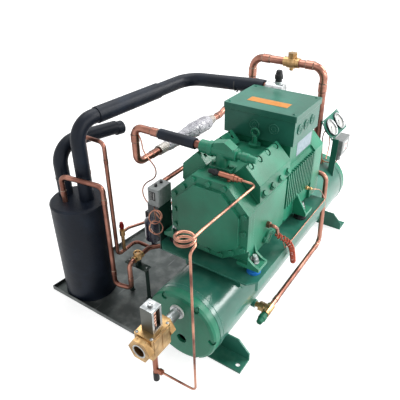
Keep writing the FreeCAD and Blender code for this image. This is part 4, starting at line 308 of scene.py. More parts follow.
def controlFinish():
    c = controlChoices
    made = Finish("controlCases", coat=0.1, coatRoughness=0.25)
    spots = made.grain(120, 4)
    pale, shaded, black = (made.mix(spots.above(*halves), *c[tones]) for tones in ("pale", "shaded", "black"))
    low = 1 - made.past("Z", c["blackTop"], 0.0008)
    left = 1 - made.past("X", c["shadedRight"])
    made.bump(made.grain(600, 3), 0.2, 0.0002, 0.0008)
    return made.done(made.mix(low * left, made.mix(left, shaded, pale), black), spots * 0.15 + 0.34)


def trayFinish():
    # dark grey sheet, scuffed and dusty, with a slight waviness
    made = Finish("traySheet", metallic=0.55, coat=0.15, coatRoughness=0.3)
    scuffs = made.grain(22, 6)
    scratches = made.grain(60, 2, (1, 0.06, 1)).above(0.66, 0.72)
    tone = made.mix(scuffs.above(0.38, 0.72), (0.06, 0.072, 0.07), (0.15, 0.165, 0.16))
    made.bump(made.grain(11, 2), 0.15, 0.002, 0.0008)
    return made.done(made.mix(scratches * 0.5, tone, (0.33, 0.34, 0.335)), scuffs * 0.3 + 0.28)


def glassFinish():
    made = Finish("clearLens", roughness=0.05)
    made.set("Base Color", (0.93, 0.96, 0.96, 1))
    made.set("Alpha", made.grain(60, 4).above(0.4, 0.8) * 0.05 + 0.07)  # faint smears
    return made.material


def filmFinish():
    # crinkled clear film over pale wadding
    made = Finish("crinkledFilm", coat=0.5, coatRoughness=0.12)
    folds = made.node("ShaderNodeTexVoronoi", {"feature": "DISTANCE_TO_EDGE"},
                      {"Vector": made.spot, "Scale": 95, "Randomness": 1}, "Distance")
    cloud = made.grain(55, 5)
    tone = made.mix(cloud.above(*halves), (0.33, 0.32, 0.37), (0.62, 0.61, 0.66))
    made.bump(folds + cloud * 0.5, 0.9, 0.003)
    return made.done(made.mix(folds.above(0.0, 0.06), (0.72, 0.72, 0.76), tone), cloud * 0.3 + 0.14)


def plain(name, first, second, roughness, scale=120, metallic=0.0, coat=0.0):
    # moulded, printed and enamelled parts: two close tones and a fine skin
    made = Finish(name, metallic=metallic, coat=coat, coatRoughness=0.2)
    spots = made.grain(scale, 4)
    made.bump(made.grain(scale * 5, 3), 0.2, 0.0002, 0.0008)
    return made.done(made.mix(spots.above(*halves), first, second), spots * 0.15 + roughness)


looks = {
    "casting": paint("castEnamel", "cast", 260, 0.0009, 0.3, 0.12),
    "sheetPaint": paint("sheetEnamel", "sheet", 700, 0.0003, 0.28, 0.12),
    "shellPaint": paint("shellEnamel", "sheet", 120, 0.0004, 0.26, 0.6),
    "bracketPaint": paint("bracketEnamel", "sheet", 700, 0.0003, 0.26, 0.25, darkLeft=True),
    "copper": metal("drawnCopper", "copper", 16, 0.2),
    "brownCopper": metal("tarnishedCopper", "brownCopper", 11, 0.22),
    "serviceBrass": metal("serviceBrass", "brass", 30, 0.24, redNear=((0.06, -0.34, 0.552), 0.085)),
    "brass": metal("forgedBrass", "brass", 30, 0.24),
    "valveBrass": metal("valveBrass", "brass", 30, 0.24, redBelow=0.138),
    "springWire": metal("springWire", "spring", 60, 0.35),
    "zinc": metal("zincPlate", "zinc", 45, 0.26),
    # the housing's faces towards -Y get painted shade
    "housingZinc": metal("housingZinc", "zinc", 45, 0.3, paintedFrontShade=True),
    "steel": metal("machinedSteel", "steel", 60, 0.25),
    "iron": metal("machinedIron", "iron", 60, 0.35),
    "braze": metal("brazedFillet", "braze", 70, 0.35),
    "foam": foamFinish(),
    "braid": braidFinish(),
    "damper": damperFinish(),
    "caps": capFinish(),
    "tray": trayFinish(),
    "controls": controlFinish(),
    "film": filmFinish(),
    "lens": glassFinish(),
    "blackPlastic": plain("blackPlastic", (0.011, 0.012, 0.014), (0.026, 0.028, 0.032), 0.34),
    "greyPlastic": plain("greyCase", (0.26, 0.285, 0.285), (0.33, 0.355, 0.35), 0.36),
    "drierPaint": plain("drierPaint", (0.012, 0.016, 0.04), (0.022, 0.03, 0.062), 0.22, 40, coat=0.4),
    "vesselPaint": plain("vesselPaint", (0.03, 0.036, 0.038), (0.06, 0.072, 0.07), 0.32, 20, coat=0.2),
    "gaugeCard": plain("gaugeCard", (0.5, 0.51, 0.48), (0.57, 0.58, 0.55), 0.45, 40),
    "white": plain("dialCard", (0.78, 0.79, 0.77), (0.84, 0.85, 0.83), 0.45, 40),
    "inkBlack": plain("dialInk", (0.01, 0.01, 0.011), (0.025, 0.025, 0.027), 0.5, 200),
    "inkRed": plain("dialRed", (0.5, 0.02, 0.015), (0.42, 0.016, 0.012), 0.5, 200),
    "plateMetal": plain("nameplateMetal", (0.24, 0.31, 0.36), (0.31, 0.38, 0.43), 0.4, 90, 0.2),
    "plateOrange": plain("stripVinyl", (0.62, 0.24, 0.03), (0.56, 0.2, 0.024), 0.38, 60),
    "leadRed": plain("leadSleeve", (0.54, 0.085, 0.035), (0.42, 0.055, 0.022), 0.36, 240),
    "oilRed": plain("sumpOil", (0.03, 0.01, 0.008), (0.014, 0.006, 0.005), 0.3, 90),
    "pointer": plain("pointerEnamel", (0.012, 0.012, 0.012), (0.03, 0.03, 0.03), 0.4, 300),
}

nodeLooks = {
    "casting": ["compressor_housing", "bearing_cover", "motor_cover", "compressor_bolts", "right_cylinder_head",
                "left_cylinder_head", "discharge_valve", "discharge_spindle_cap", "front_water_box",
                "rear_water_box", "oil_sight_glass", "lifting_eye", "valve_plates"],
    "sheetPaint": ["terminal_box", "terminal_lid", "feet", "rail_saddles", "mounting_rail", "water_box_bolts"],
    "bracketPaint": ["sheet_brackets"],
    "shellPaint": ["condenser_shell", "tube_sheets"],
    "brownCopper": ["discharge_pipes", "hot_gas_pipe", "suction_pipes", "condenser_liquid_pipe", "tray_pipes"],
    "copper": ["condenser_tubes", "capillaries"],
    "serviceBrass": ["brass_valves"],
    "brass": ["check_valve"],
    "valveBrass": ["water_valve_body"],
    "springWire": ["water_valve_spring"],
    "zinc": ["damper_bolts", "water_nipple", "water_valve_screw", "suction_valve"],
    "housingZinc": ["water_valve_housing"],
    "steel": ["water_valve_stem", "right_front_piston", "right_rear_piston",
              "left_front_piston", "left_rear_piston"],
    "iron": ["crankshaft", "rotor", "stator"],
    "foam": ["line_foam", "accumulator_foam"],
    "braid": ["vibration_absorber"],
    "damper": ["dampers"],
    "caps": ["valve_caps"],
    "tray": ["drip_tray"],
    "controls": ["pressure_controls"],
    "drierPaint": ["filter_drier"],
    "vesselPaint": ["oil_separator", "accumulator"],
    "pointer": ["near_pointer", "far_pointer"],
    "blackPlastic": ["gauge_cases"],
    "leadRed": ["heater_lead"],
}
for look, names in nodeLooks.items():
    for name in names:
        for slot in shown[name].material_slots:
            slot.material = looks[look]
left = set(shown) - {name for names in nodeLooks.values() for name in names}
print("finishes on the CAD nodes, left over:", sorted(left))

# Making and placing pieces

home = Matrix.Identity(4)
upward = Vector((0, 0, 1))


def place(at, aim=upward):
    # puts a shape's origin at a point and turns its local Z to aim
    turn = upward.rotation_difference(Vector(aim).normalized())
    return Matrix.Translation(at) @ turn.to_matrix().to_4x4()


def addPiece(name, mesh, look, body="unit"):
    mesh.materials.clear()
    mesh.materials.append(looks[look])
    made = bpy.data.objects.new(name, mesh)
    bpy.context.scene.collection.objects.link(made)
    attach(made, body)
    return made


def meshOf(name, build):
    work = bmesh.new()
    build(work)
    bmesh.ops.remove_doubles(work, verts=work.verts, dist=1e-6)
    bmesh.ops.recalc_face_normals(work, faces=work.faces)
    mesh = bpy.data.meshes.new(name)
    work.to_mesh(mesh)
    work.free()
    return mesh


def smooth(mesh, degrees=40):
    mesh.shade_smooth()
    mesh.set_sharp_from_angle(angle=math.radians(degrees))
    return mesh


def lathe(work, profile, where=home, sides=32):
    # (radius, height) pairs turned round local Z
    rings = []
    for radius, height in profile:
        ring = []
        for step in range(sides if radius else 1):  # one point where the profile meets the axis
            angle = 2 * math.pi * step / sides
            spot = Vector((radius * math.cos(angle), radius * math.sin(angle), height))
            ring.append(work.verts.new(where @ spot))
        rings.append(ring)
    for low, high in zip(rings, rings[1:]):
        for step in range(sides):
            after = (step + 1) % sides
            quad = ((low, step), (low, after), (high, after), (high, step))
            corners = list(dict.fromkeys(ring[at % len(ring)] for ring, at in quad))
            if len(corners) > 2:
                work.faces.new(corners)


def block(work, low, high, rounding=0.0, where=home):
    # a box with rounded edges
    start = len(work.verts)
    made = bmesh.ops.create_cube(work, size=1)["verts"]
    bmesh.ops.scale(work, vec=[b - a for a, b in zip(low, high)], verts=made)
    bmesh.ops.translate(work, vec=[(a + b) / 2 for a, b in zip(low, high)], verts=made)
    if rounding:
        edges = list(dict.fromkeys(edge for vert in made for edge in vert.link_edges))
        bmesh.ops.bevel(work, geom=edges, offset=rounding, segments=3, affect="EDGES", profile=0.5)
    work.verts.ensure_lookup_table()
    bmesh.ops.transform(work, matrix=where, verts=work.verts[start:])


def turned(name, *parts):
    # one mesh of turned shapes; a part is a profile, its place and its sides
    def build(work):
        for part in parts:
            lathe(work, *part)

    return meshOf(name, build)


def addTurned(name, look, *parts):
    return addPiece(name, smooth(turned(name, *parts)), look)


def blocks(name, *parts):
    # one mesh of boxes; a part is its low corner, its high corner and its rounding
    def build(work):
        for part in parts:
            block(work, *part)

    return meshOf(name, build)


def addBlocks(name, look, *parts):
    return addPiece(name, blocks(name, *parts), look)


def nurbsLine(name, points):
    line = bpy.data.curves.new(name, "CURVE")
    line.dimensions = "3D"
    line.resolution_u = 10
    spline = line.splines.new("NURBS")
    spline.points.add(len(points) - 1)
    for control, spot in zip(spline.points, points):
        control.co = (*spot, 1)
    spline.order_u = 3
    spline.use_endpoint_u = True
    return line


def meshOfLine(line):
    holder = bpy.data.objects.new(line.name + "Holder", line)
    mesh = bpy.data.meshes.new_from_object(holder)
    bpy.data.objects.remove(holder)
    return mesh


def addTube(name, radius, points, look):
    # a smooth tube on a NURBS line through the control points
    line = nurbsLine(name + "Line", points)
    line.bevel_depth = radius
    line.bevel_resolution = 5
    line.use_fill_caps = True
    return addPiece(name, smooth(meshOfLine(line)), look)


# Scatter: a Geometry Nodes tree that sets one small shape on every given point,
# turned to that point's aim and scaled by its size


def scatterTree():
    tree = bpy.data.node_groups.new("scatterParts", "GeometryNodeTree")
    for name, kind in (("Geometry", "Geometry"), ("Part", "Object"), ("Size", "Float"), ("Wobble", "Float"),
                       ("Finish", "Material")):
        tree.interface.new_socket(name, in_out="INPUT", socket_type="NodeSocket" + kind)
    tree.interface.new_socket("Geometry", in_out="OUTPUT", socket_type="NodeSocketGeometry")

    def node(kind, inputs, output, settings=None):
        return addNode(tree, kind, settings, inputs, output)

    def given(name):  # one of the tree's own inputs
        return node("NodeGroupInput", None, name)

    def carried(name, kind):  # a value that each point carries
        return node("GeometryNodeInputNamedAttribute", {"Name": name}, "Attribute", {"data_type": kind})

    part = node("GeometryNodeObjectInfo", {"Object": given("Part")}, "Geometry")
    aimed = node("FunctionNodeAlignRotationToVector", {"Vector": carried("aim", "FLOAT_VECTOR")}, "Rotation",
                 {"axis": "Z"})
    chance = node("FunctionNodeRandomValue", {3: given("Wobble"), "Seed": 7}, 1, {"data_type": "FLOAT"})
    twist = node("FunctionNodeAxisAngleToRotation", {"Axis": (0, 0, 1), "Angle": chance}, "Rotation")
    spun = node("FunctionNodeRotateRotation", {"Rotation": aimed, "Rotate By": twist}, "Rotation",
                {"rotation_space": "LOCAL"})
    grown = carried("partSize", "FLOAT") * given("Size")
    copies = node("GeometryNodeInstanceOnPoints", {"Points": given("Geometry"), "Instance": part,
                                                   "Rotation": spun, "Scale": grown}, "Instances")
    real = node("GeometryNodeRealizeInstances", {"Geometry": copies}, "Geometry")
    coated = node("GeometryNodeSetMaterial", {"Geometry": real, "Material": given("Finish")}, "Geometry")
    tree.links.new(coated.socket, tree.nodes.new("NodeGroupOutput").inputs["Geometry"])
    return tree


partsTree = scatterTree()


def scatter(name, partMesh, spots, look, size=1.0, wobble=0.0):
    # spots are (point, aim, own size); the result is one plain mesh
    cloud = bpy.data.meshes.new(name + "Points")
    cloud.from_pydata([tuple(spot[0]) for spot in spots], [], [])
    cloud.attributes.new("aim", "FLOAT_VECTOR", "POINT")
    cloud.attributes.new("partSize", "FLOAT", "POINT")
    for index, spot in enumerate(spots):  # looked up again, since adding an attribute moves the others
        cloud.attributes["aim"].data[index].vector = Vector(spot[1]).normalized()
        cloud.attributes["partSize"].data[index].value = spot[2] if len(spot) > 2 else 1.0
    holder = bpy.data.objects.new(name + "Holder", cloud)
    part = bpy.data.objects.new(name + "Part", partMesh)
    for thing in (holder, part):
        bpy.context.scene.collection.objects.link(thing)
    modifier = holder.modifiers.new("scatter", "NODES")
    modifier.node_group = partsTree
    values = {"Part": part, "Size": size, "Wobble": wobble, "Finish": looks[look]}
    for item in partsTree.interface.items_tree:
        if item.in_out == "INPUT" and item.name in values:
            modifier[item.identifier] = values[item.name]
    settled = holder.evaluated_get(bpy.context.evaluated_depsgraph_get())
    mesh = bpy.data.meshes.new_from_object(settled)
    holder.modifiers.remove(modifier)
    for thing in (holder, part):
        bpy.data.objects.remove(thing)
    return addPiece(name, smooth(mesh), look)


# Camera and the curly lead come first

cameraPlace = {
    "at": (0.51984, -1.1755, 1.083), "azimuth": 33.97, "elevation": 32.0, "roll": 0.333, "lens": 40.572,
}


def addCamera():
    c = cameraPlace
    azimuth, elevation, roll = (math.radians(c[key]) for key in ("azimuth", "elevation", "roll"))
    lens = bpy.data.cameras.new("photoCamera")
    lens.lens = c["lens"]
    lens.sensor_width = 36
    eye = bpy.data.objects.new("photoCamera", lens)
    turn = Matrix.Rotation(azimuth, 4, "Z") @ Matrix.Rotation(math.pi / 2 - elevation, 4, "X")
    eye.matrix_world = Matrix.Translation(c["at"]) @ turn @ Matrix.Rotation(-roll, 4, "Z")
    bpy.context.scene.collection.objects.link(eye)
    bpy.context.scene.camera = eye


addCamera()

leadChoices = {
    "route": [(0.1375, -0.2288, 0.3505), (0.1375, -0.2245, 0.3377), (0.154, -0.216, 0.33),
              (0.167, -0.205, 0.312), (0.172, -0.193, 0.285), (0.171, -0.178, 0.25), (0.168, -0.16, 0.214)],
    "wire": 0.0019,
    "coil": 0.0068,
    "pitch": 0.0094,
    "stepsPerTurn": 14,
    "opening": 30,  # the helix opens out over a 30th of its route
    "closing": 24,  # and closes over the last 24th
}


def addCurlyLead():
    c = leadChoices
    spots = [vert.co.copy() for vert in meshOfLine(nurbsLine("leadRoute", c["route"])).vertices]
    reach = [0.0]
    for start, end in zip(spots, spots[1:]):
        reach.append(reach[-1] + (end - start).length)

    def along(distance):
        index = next((i for i in range(1, len(spots)) if reach[i] >= distance), len(spots) - 1)
        start, end = spots[index - 1], spots[index]
        share = (distance - reach[index - 1]) / max(reach[index] - reach[index - 1], 1e-9)
        return start.lerp(end, share), (end - start).normalized()

    side = Vector((0, 1, 0))
    count = int(reach[-1] / c["pitch"] * c["stepsPerTurn"])
    controls = []
    for step in range(count + 1):
        share = step / count
        spot, ahead = along(share * reach[-1])
        side = (side - ahead * side.dot(ahead)).normalized()
        over = ahead.cross(side)
        angle = 2 * math.pi * step / c["stepsPerTurn"]
        spread = min(1, share * c["opening"], (1 - share) * c["closing"])
        controls.append(spot + (side * math.cos(angle) + over * math.sin(angle)) * c["coil"] * spread)
    curve = nurbsLine("curlyLead", controls)
    curve.bevel_depth = c["wire"]
    curve.bevel_resolution = 3
    curve.use_fill_caps = True
    curve.resolution_u = 2
    curve.materials.append(looks["leadRed"])
    lead = bpy.data.objects.new("curlyLead", curve)
    bpy.context.scene.collection.objects.link(lead)
    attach(lead, "unit")
    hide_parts("heater_lead")
    turns = [vert.co for vert in meshOfLine(nurbsLine("leadCheck", controls)).vertices]


addCurlyLead()
print("camera and lead placed")

# Copper joints: socket sleeves with a brazed fillet at each mouth

gasX, gasY, gasZ, hotZ = -0.291, -0.3, 0.475, 0.633  # lines that the gas pipes follow
across, along, up = (1, 0, 0), (0, 1, 0), (0, 0, 1)
jointChoices = {
    # sleeve centre, direction, pipe radius
    "sleeves": [
        ((-0.215, gasY, 0.59), across, 0.0111), ((gasX, gasY, 0.556), up, 0.0111),
        ((gasX, -0.222, gasZ), along, 0.0111), ((gasX, 0.15, 0.4755), along, 0.0111),
        ((-0.29, 0.33, 0.5), along, 0.0111), ((-0.29, 0.4, 0.574), up, 0.0143),
        ((-0.233, 0.4, hotZ), across, 0.0143), ((-0.06, 0.4, hotZ), across, 0.0143),
        ((-0.005, 0.4046, 0.56), (0, -0.075, 1), 0.0143),
        ((0.15, -0.215, 0.0995), (0, 1, -0.015), 0.008), ((0.15, 0.098, 0.0946), (0, 1, -0.015), 0.008),
        ((-0.285, -0.215, 0.365), along, 0.008), ((0.08, 0.138, 0.365), across, 0.008),
        ((-0.47, -0.44, 0.385), up, 0.008), ((-0.338, -0.405, 0.38), up, 0.008),
        ((-0.338, -0.405, 0.11), up, 0.008), ((-0.278, -0.392, 0.1), up, 0.008),
        ((-0.368, -0.35, 0.48), up, 0.00635), ((-0.45, -0.35, 0.42), up, 0.00635),
        ((-0.21, -0.15, 0.163), along, 0.008),
    ],
    "pipe": 0.01,  # the shapes are made for this radius and scaled to each pipe
    "length": 0.02,
    "wall": 0.117,  # as a share of the pipe's radius
    "sides": 28,
}


def addJoints():
    c = jointChoices
    pipe, half = c["pipe"], c["length"] / 2
    inner, outer = pipe * 1.02, pipe * (1 + c["wall"])
    sleeve = [(inner, -half), (outer, -half), (outer * 1.01, -half * 0.8), (outer, 0),
              (outer * 1.01, half * 0.8), (outer, half), (inner, half)]
    fillet = [(pipe * 1.015, -0.0022), (pipe * 1.06, -0.0012), (pipe * 1.15, 0), (pipe * 1.06, 0.0012),
              (pipe * 1.015, 0.0022)]
    mouths = [(fillet, place((0, 0, end)), c["sides"]) for end in (-half, half)]
    spots = [(at, aim, radius / pipe) for at, aim, radius in c["sleeves"]]
    scatter("jointSleeves", turned("sleeve", (sleeve, home, c["sides"])), spots, "brownCopper")
    scatter("jointFillets", turned("fillet", *mouths), spots, "braze")


addJoints()
print("pipe joints placed")

# Screws and rivets of the sheet-metal parts

panelChoices = {"tilt": 52, "topX": 0.0125, "topZ": 0.432, "nearY": 0.400}


def panelPlace(down, y):
    # a place on the sloping gauge panel, measured down from its upper edge
    c = panelChoices
    tilt = math.radians(c["tilt"])
    at = Vector((c["topX"] + down * math.cos(tilt), y, c["topZ"] - down * math.sin(tilt)))
    return Matrix.Translation(at) @ Matrix.Rotation(tilt, 4, "Y")


fastenerChoices = {
    "screwRadius": 0.0042, "screwHeight": 0.0026, "rivetRadius": 0.0026,
    "lidX": (-0.098, 0.098), "lidY": (-0.103, 0.054), "lidTop": 0.643,
    "bracketX": -0.16, "bracketY": (-0.366, -0.327), "bracketZ": (0.285, 0.33),
    "standX": (-0.318, -0.244), "standY": -0.35, "standTop": 0.1332,
    "panelDown": (0.007, 0.075), "panelAlong": (0.007, 0.16),
    "trayX": -0.16, "trayStart": -0.44, "trayPitch": 0.11, "trayZ": 0.0085, "trayCount": 9,
}


def headMeshes():
    r, h = fastenerChoices["screwRadius"], fastenerChoices["screwHeight"]
    pan = [(0, h * 0.45), (r * 0.35, h * 0.45), (r * 0.42, h), (r * 0.75, h * 0.85), (r, h * 0.3), (r, -0.0004),
           (0, -0.0004)]
    r = fastenerChoices["rivetRadius"]
    dome = [(0, r * 0.6), (r * 0.5, r * 0.52), (r * 0.87, r * 0.3), (r, 0), (r, -0.0003), (0, -0.0003)]
    return turned("panHead", (pan, home, 14)), turned("rivetHead", (dome, home, 12))


panHead, rivetHead = headMeshes()


def addFasteners():
    c = fastenerChoices
    lid = [((x, y, c["lidTop"]), up) for x in c["lidX"] for y in c["lidY"]]
    scatter("lidScrews", panHead, lid, "sheetPaint")
    screws = [((c["bracketX"], y, z), (-1, 0, 0), 0.9) for y in c["bracketY"] for z in c["bracketZ"]]
    screws += [((x, c["standY"], c["standTop"]), up, 0.8) for x in c["standX"]]
    for down in c["panelDown"]:
        for beyond in c["panelAlong"]:
            where = panelPlace(down, panelChoices["nearY"] + beyond)
            screws.append((where.translation, where.to_3x3() @ upward, 0.9))
    scatter("bracketScrews", panHead, screws, "zinc")
    rivets = [((c["trayX"], c["trayStart"] + step * c["trayPitch"], c["trayZ"]), across)
              for step in range(c["trayCount"])]
    scatter("trayRivets", rivetHead, rivets, "zinc")


addFasteners()
print("fasteners placed")

# Bosses with hexagon bolts in the pockets of the cylinder heads and on the water boxes

shellChoices = {"z": 0.151, "radius": 0.1098}
boltChoices = {
    "hexRadius": 0.0078, "hexHeight": 0.0052, "washerRadius": 0.0088, "bossRadius": 0.0092, "bossTall": 0.0065,
    "seat": 0.13026,  # from the crank's axis, along the bank
    "bankY": -0.225, "pitch": 0.046, "crankZ": 0.427,
    "rows": ((0.046, 0.01), (-0.031, 0.0)),  # each row's distance from the bank's middle, and its lift
    "ringRadius": 0.099, "ringCount": 6, "boxSeat": 0.4855,
}


def addBosses():
    c = boltChoices
    top = c["bossTall"]
    low = top + 0.0016  # the washer's top
    high = low + c["hexHeight"]
    boss = [(0, 0), (c["bossRadius"], 0), (c["bossRadius"], top), (c["washerRadius"], top + 0.0006),
            (c["washerRadius"], low), (0, low)]
    head = [(0, low - 0.0004), (c["hexRadius"], low - 0.0004), (c["hexRadius"], high - 0.0008),
            (c["hexRadius"] * 0.9, high), (0, high)]
    spots = []
    slope = math.sqrt(0.5)
    for side in (1, -1):
        aim = Vector((side * slope, 0, slope))
        inward = Vector((-side * slope, 0, slope))
        for away, lift in c["rows"]:
            for step in (-1.5, -0.5, 0.5, 1.5):
                middle = Vector((0, c["bankY"] + c["pitch"] * step, c["crankZ"]))
                spots.append((middle + aim * (c["seat"] + lift) + inward * away, aim))
    for end in (-1, 1):
        for step in range(c["ringCount"]):
            angle = 2 * math.pi * step / c["ringCount"]
            spots.append(((c["ringRadius"] * math.cos(angle), end * c["boxSeat"],
                           shellChoices["z"] + c["ringRadius"] * math.sin(angle)), (0, end, 0)))
    scatter("bossBolts", turned("hexBolt", (boss, home, 24), (head, home, 6)), spots, "casting")


addBosses()
print("bosses placed")

# Weld beads: small overlapping drops along arcs on the condenser shell

weldChoices = {
    "drop": 0.0021,
    "spacing": 0.003,
    # where along the shell, and from which angle to which
    "arcs": ((-0.3837, 218, 322), (0.3837, 218, 322), (-0.3345, 32, 148), (-0.0285, 32, 148)),
    "sheets": (-0.4597, 0.4597),  # the tube sheets are welded all round
    "sheetDrops": 230,
    "collars": (
        ([(0.0148, 0.002), (0.0215, 0.002), (0.0215, 0.016), (0.02, 0.018), (0.0148, 0.018)],
         place((-0.005, 0.424, 0.2585)), 36),
        ([(0.0083, 0.0), (0.013, 0.0), (0.013, 0.012), (0.0083, 0.012)],
         place((0.0965, -0.267, 0.1), across), 30),
    ),
}


def addWelds():
    c = weldChoices
    spots = []

    def drop(y, degrees, smallest, largest):
        angle = math.radians(degrees)
        out = Vector((math.cos(angle), 0, math.sin(angle)))
        at = Vector((0, y, shellChoices["z"])) + out * shellChoices["radius"]
        spots.append((at, out, c["drop"] * random.uniform(smallest, largest)))

    for y, start, stop in c["arcs"]:
        steps = int(math.radians(stop - start) * shellChoices["radius"] / c["spacing"])
        for step in range(steps + 1):
            drop(y, start + (stop - start) * step / steps, 0.85, 1.15)
    for y in c["sheets"]:
        for step in range(c["sheetDrops"]):
            drop(y, 360 * step / c["sheetDrops"], 0.7, 0.95)
    ball = meshOf("weldDrop", lambda work: bmesh.ops.create_icosphere(work, subdivisions=1, radius=1))
    scatter("weldBeads", ball, spots, "shellPaint", wobble=3.0)
    addTurned("shellCollars", "shellPaint", *c["collars"])


random.seed(4)
addWelds()
print("welds placed")

# Blank plates on the terminal box and its lid

plateChoices = {
    "thick": 0.0006, "rounding": 0.0002,
    "boxFace": 0.1001, "plateY": (-0.06, 0.046), "plateZ": (0.503, 0.549), "rivetInset": 0.004,
    "lidTop": 0.643, "stripX": (-0.062, 0.062), "stripY": (-0.07, -0.036),
}


def addPlates():
    c = plateChoices
    (y1, y2), (z1, z2), face = c["plateY"], c["plateZ"], c["boxFace"]
    front = face + c["thick"]
    addBlocks("blankNameplate", "plateMetal", ((face, y1, z1), (front, y2, z2), c["rounding"]))
    (x1, x2), (y3, y4), top = c["stripX"], c["stripY"], c["lidTop"]
    addBlocks("blankStrip", "plateOrange", ((x1, y3, top), (x2, y4, top + c["thick"]), c["rounding"]))
    inset = c["rivetInset"]
    corners = [((front, y, z), across, 0.6) for y in (y1 + inset, y2 - inset) for z in (z1 + inset, z2 - inset)]
    scatter("plateRivets", rivetHead, corners, "plateMetal")


addPlates()
print("blank plates placed")

# Gauges: a pale card with ticks, a bright bezel and a lens

gaugeChoices = {
    "down": 0.041, "rows": (0.4435, 0.5235), "front": 0.007, "depth": 0.006,
    "card": [(0.0019, 0.0001), (0.0286, 0.0001), (0.0286, 0.0004), (0.0019, 0.0004), (0.0019, 0.0001)],
    "bezel": [(0.0276, -0.0003), (0.0335, -0.0003), (0.0335, 0.0004), (0.0322, 0.0013), (0.029, 0.0009),
              (0.0276, 0.0001), (0.0276, -0.0003)],
    "lens": [(0, -0.0002), (0.015, -0.0004), (0.0289, -0.0011), (0.0289, -0.0017), (0, -0.0017)],
    "ticks": 28, "sweep": 270, "firstRed": 23,
    "tickReach": 0.024, "tickHalf": 0.0022, "tickSize": (0.0004, 0.0001),
}


def addGauges():
    c = gaugeChoices
    fronts, backs, blackTicks, redTicks = [], [], [], []
    for y in c["rows"]:
        middle = panelPlace(c["down"], y)
        fronts.append(middle @ place((0, 0, c["front"])))
        backs.append(middle @ place((0, 0, c["front"] - c["depth"])))
        for step in range(c["ticks"] + 1):
            # the scale runs clockwise from the lower left, as seen from the front
            angle = math.radians(-45 - c["sweep"] * step / c["ticks"])
            size = 1.0 if step % 4 == 0 else 0.6
            reach = c["tickReach"] - c["tickHalf"] * size
            out = Vector((math.cos(angle), math.sin(angle), 0))
            spot = backs[-1] @ (out * reach + upward * 0.0004)
            ticks = redTicks if step >= c["firstRed"] else blackTicks
            ticks.append((spot, middle.to_3x3() @ out, size))
    addTurned("gaugeCards", "gaugeCard", *((c["card"], where, 64) for where in backs))
    addTurned("gaugeBezels", "housingZinc", *((c["bezel"], where, 64) for where in fronts))
    addTurned("gaugeLenses", "lens", *((c["lens"], where, 48) for where in fronts))
    corner = Vector((*c["tickSize"], c["tickHalf"]))
    tick = blocks("tick", (-corner, corner))
    scatter("gaugeTicks", tick, blackTicks, "inkBlack")
    scatter("gaugeRedTicks", tick, redTicks, "inkRed")


addGauges()
print("gauges dressed")

# The absorber's crinkled film, over its middle

wrapChoices = {
    "start": -0.172, "end": 0.098, "rings": 90, "around": 72,
    "radius": 0.0178, "crinkle": 0.0022,
    # it swells and narrows from these shares of its length on, and its ends are pinched
    "belly": 0.0075, "bellyFrom": 0.3, "bellyOver": 0.3, "shoulder": 0.006, "shoulderFrom": 0.86,
    "pinchStart": 0.22, "pinchEnd": 0.25, "pinchShare": 1 / 12,
}


def addWrap():
    c = wrapChoices

    def skin(work):
        rows = []
        for row in range(c["rings"] + 1):
            share = row / c["rings"]
            y = c["start"] + (c["end"] - c["start"]) * share
            girth = c["radius"] + c["belly"] * max(0, min(1, (share - c["bellyFrom"]) / c["bellyOver"]))
            girth -= c["shoulder"] * max(0, (share - c["shoulderFrom"]) / (1 - c["shoulderFrom"]))
            girth *= (1 - c["pinchStart"] * (1 - min(1, share / c["pinchShare"]))
                      - c["pinchEnd"] * (1 - min(1, (1 - share) / c["pinchShare"])))
            ring = []
            for step in range(c["around"]):
                angle = 2 * math.pi * step / c["around"]
                spot = Vector((math.cos(angle) * 2.1, y * 60, math.sin(angle) * 2.1))
                fold = abs(noise.noise(spot * 1.4)) + 0.5 * abs(noise.noise(spot * 3.1 + Vector((5, 1, 2))))
                radius = girth + c["crinkle"] * (1.6 * fold - 0.4)
                at = (gasX + radius * math.cos(angle), y, gasZ + radius * math.sin(angle))
                ring.append(work.verts.new(at))
            rows.append(ring)
        for low, high in zip(rows, rows[1:]):
            for step in range(c["around"]):
                after = (step + 1) % c["around"]
                work.faces.new((low[step], low[after], high[after], high[step]))

    addPiece("absorberFilm", smooth(meshOf("film", skin), 25), "film")


addWrap()
print("absorber wrapped")

# A thicker foam sleeve on the suction line, a cuff at the return line's end, and the seams
# of the vessel's jacket

foamChoices = {
    "suctionStart": (-0.428, -0.391, 0.599), "suctionEnd": (-0.376, 0.09, 0.613), "sleeveFrom": 0.075,
    "sleeve": [(0.0222, 0), (0.0238, 0), (0.0248, 0.001), (0.0248, 0.254), (0.0238, 0.255), (0.0222, 0.255)],
    "returnEnd": (-0.48, -0.156, 0.495), "returnAim": (0.025, 0.249, -0.023), "cuffFrom": -0.028,
    "cuff": [(0.0147, 0), (0.0212, 0), (0.0221, 0.0008), (0.0221, 0.026), (0.021, 0.027), (0.0147, 0.027),
             (0.0147, 0)],
    "tank": (-0.452, -0.408, 0),
    "seams": ([(0.0838, 0.346), (0.0846, 0.347), (0.0846, 0.3485), (0.0836, 0.35)],
              [(0.0838, 0.0035), (0.0848, 0.004), (0.0848, 0.0065), (0.0838, 0.008)]),
}


def addFoamDetails():
    c = foamChoices
    start, end = Vector(c["suctionStart"]), Vector(c["returnEnd"])
    ahead = (Vector(c["suctionEnd"]) - start).normalized()
    addTurned("foamSleeve", "foam", (c["sleeve"], place(start + ahead * c["sleeveFrom"], ahead), 48))
    ahead = Vector(c["returnAim"]).normalized()
    addTurned("foamCuff", "foam", (c["cuff"], place(end + ahead * c["cuffFrom"], ahead), 48))
    addTurned("jacketSeams", "foam", *((seam, place(c["tank"]), 96) for seam in c["seams"]))


addFoamDetails()
print("foam dressed")

# Thin capillary tubes of the controls, gauges and oil line


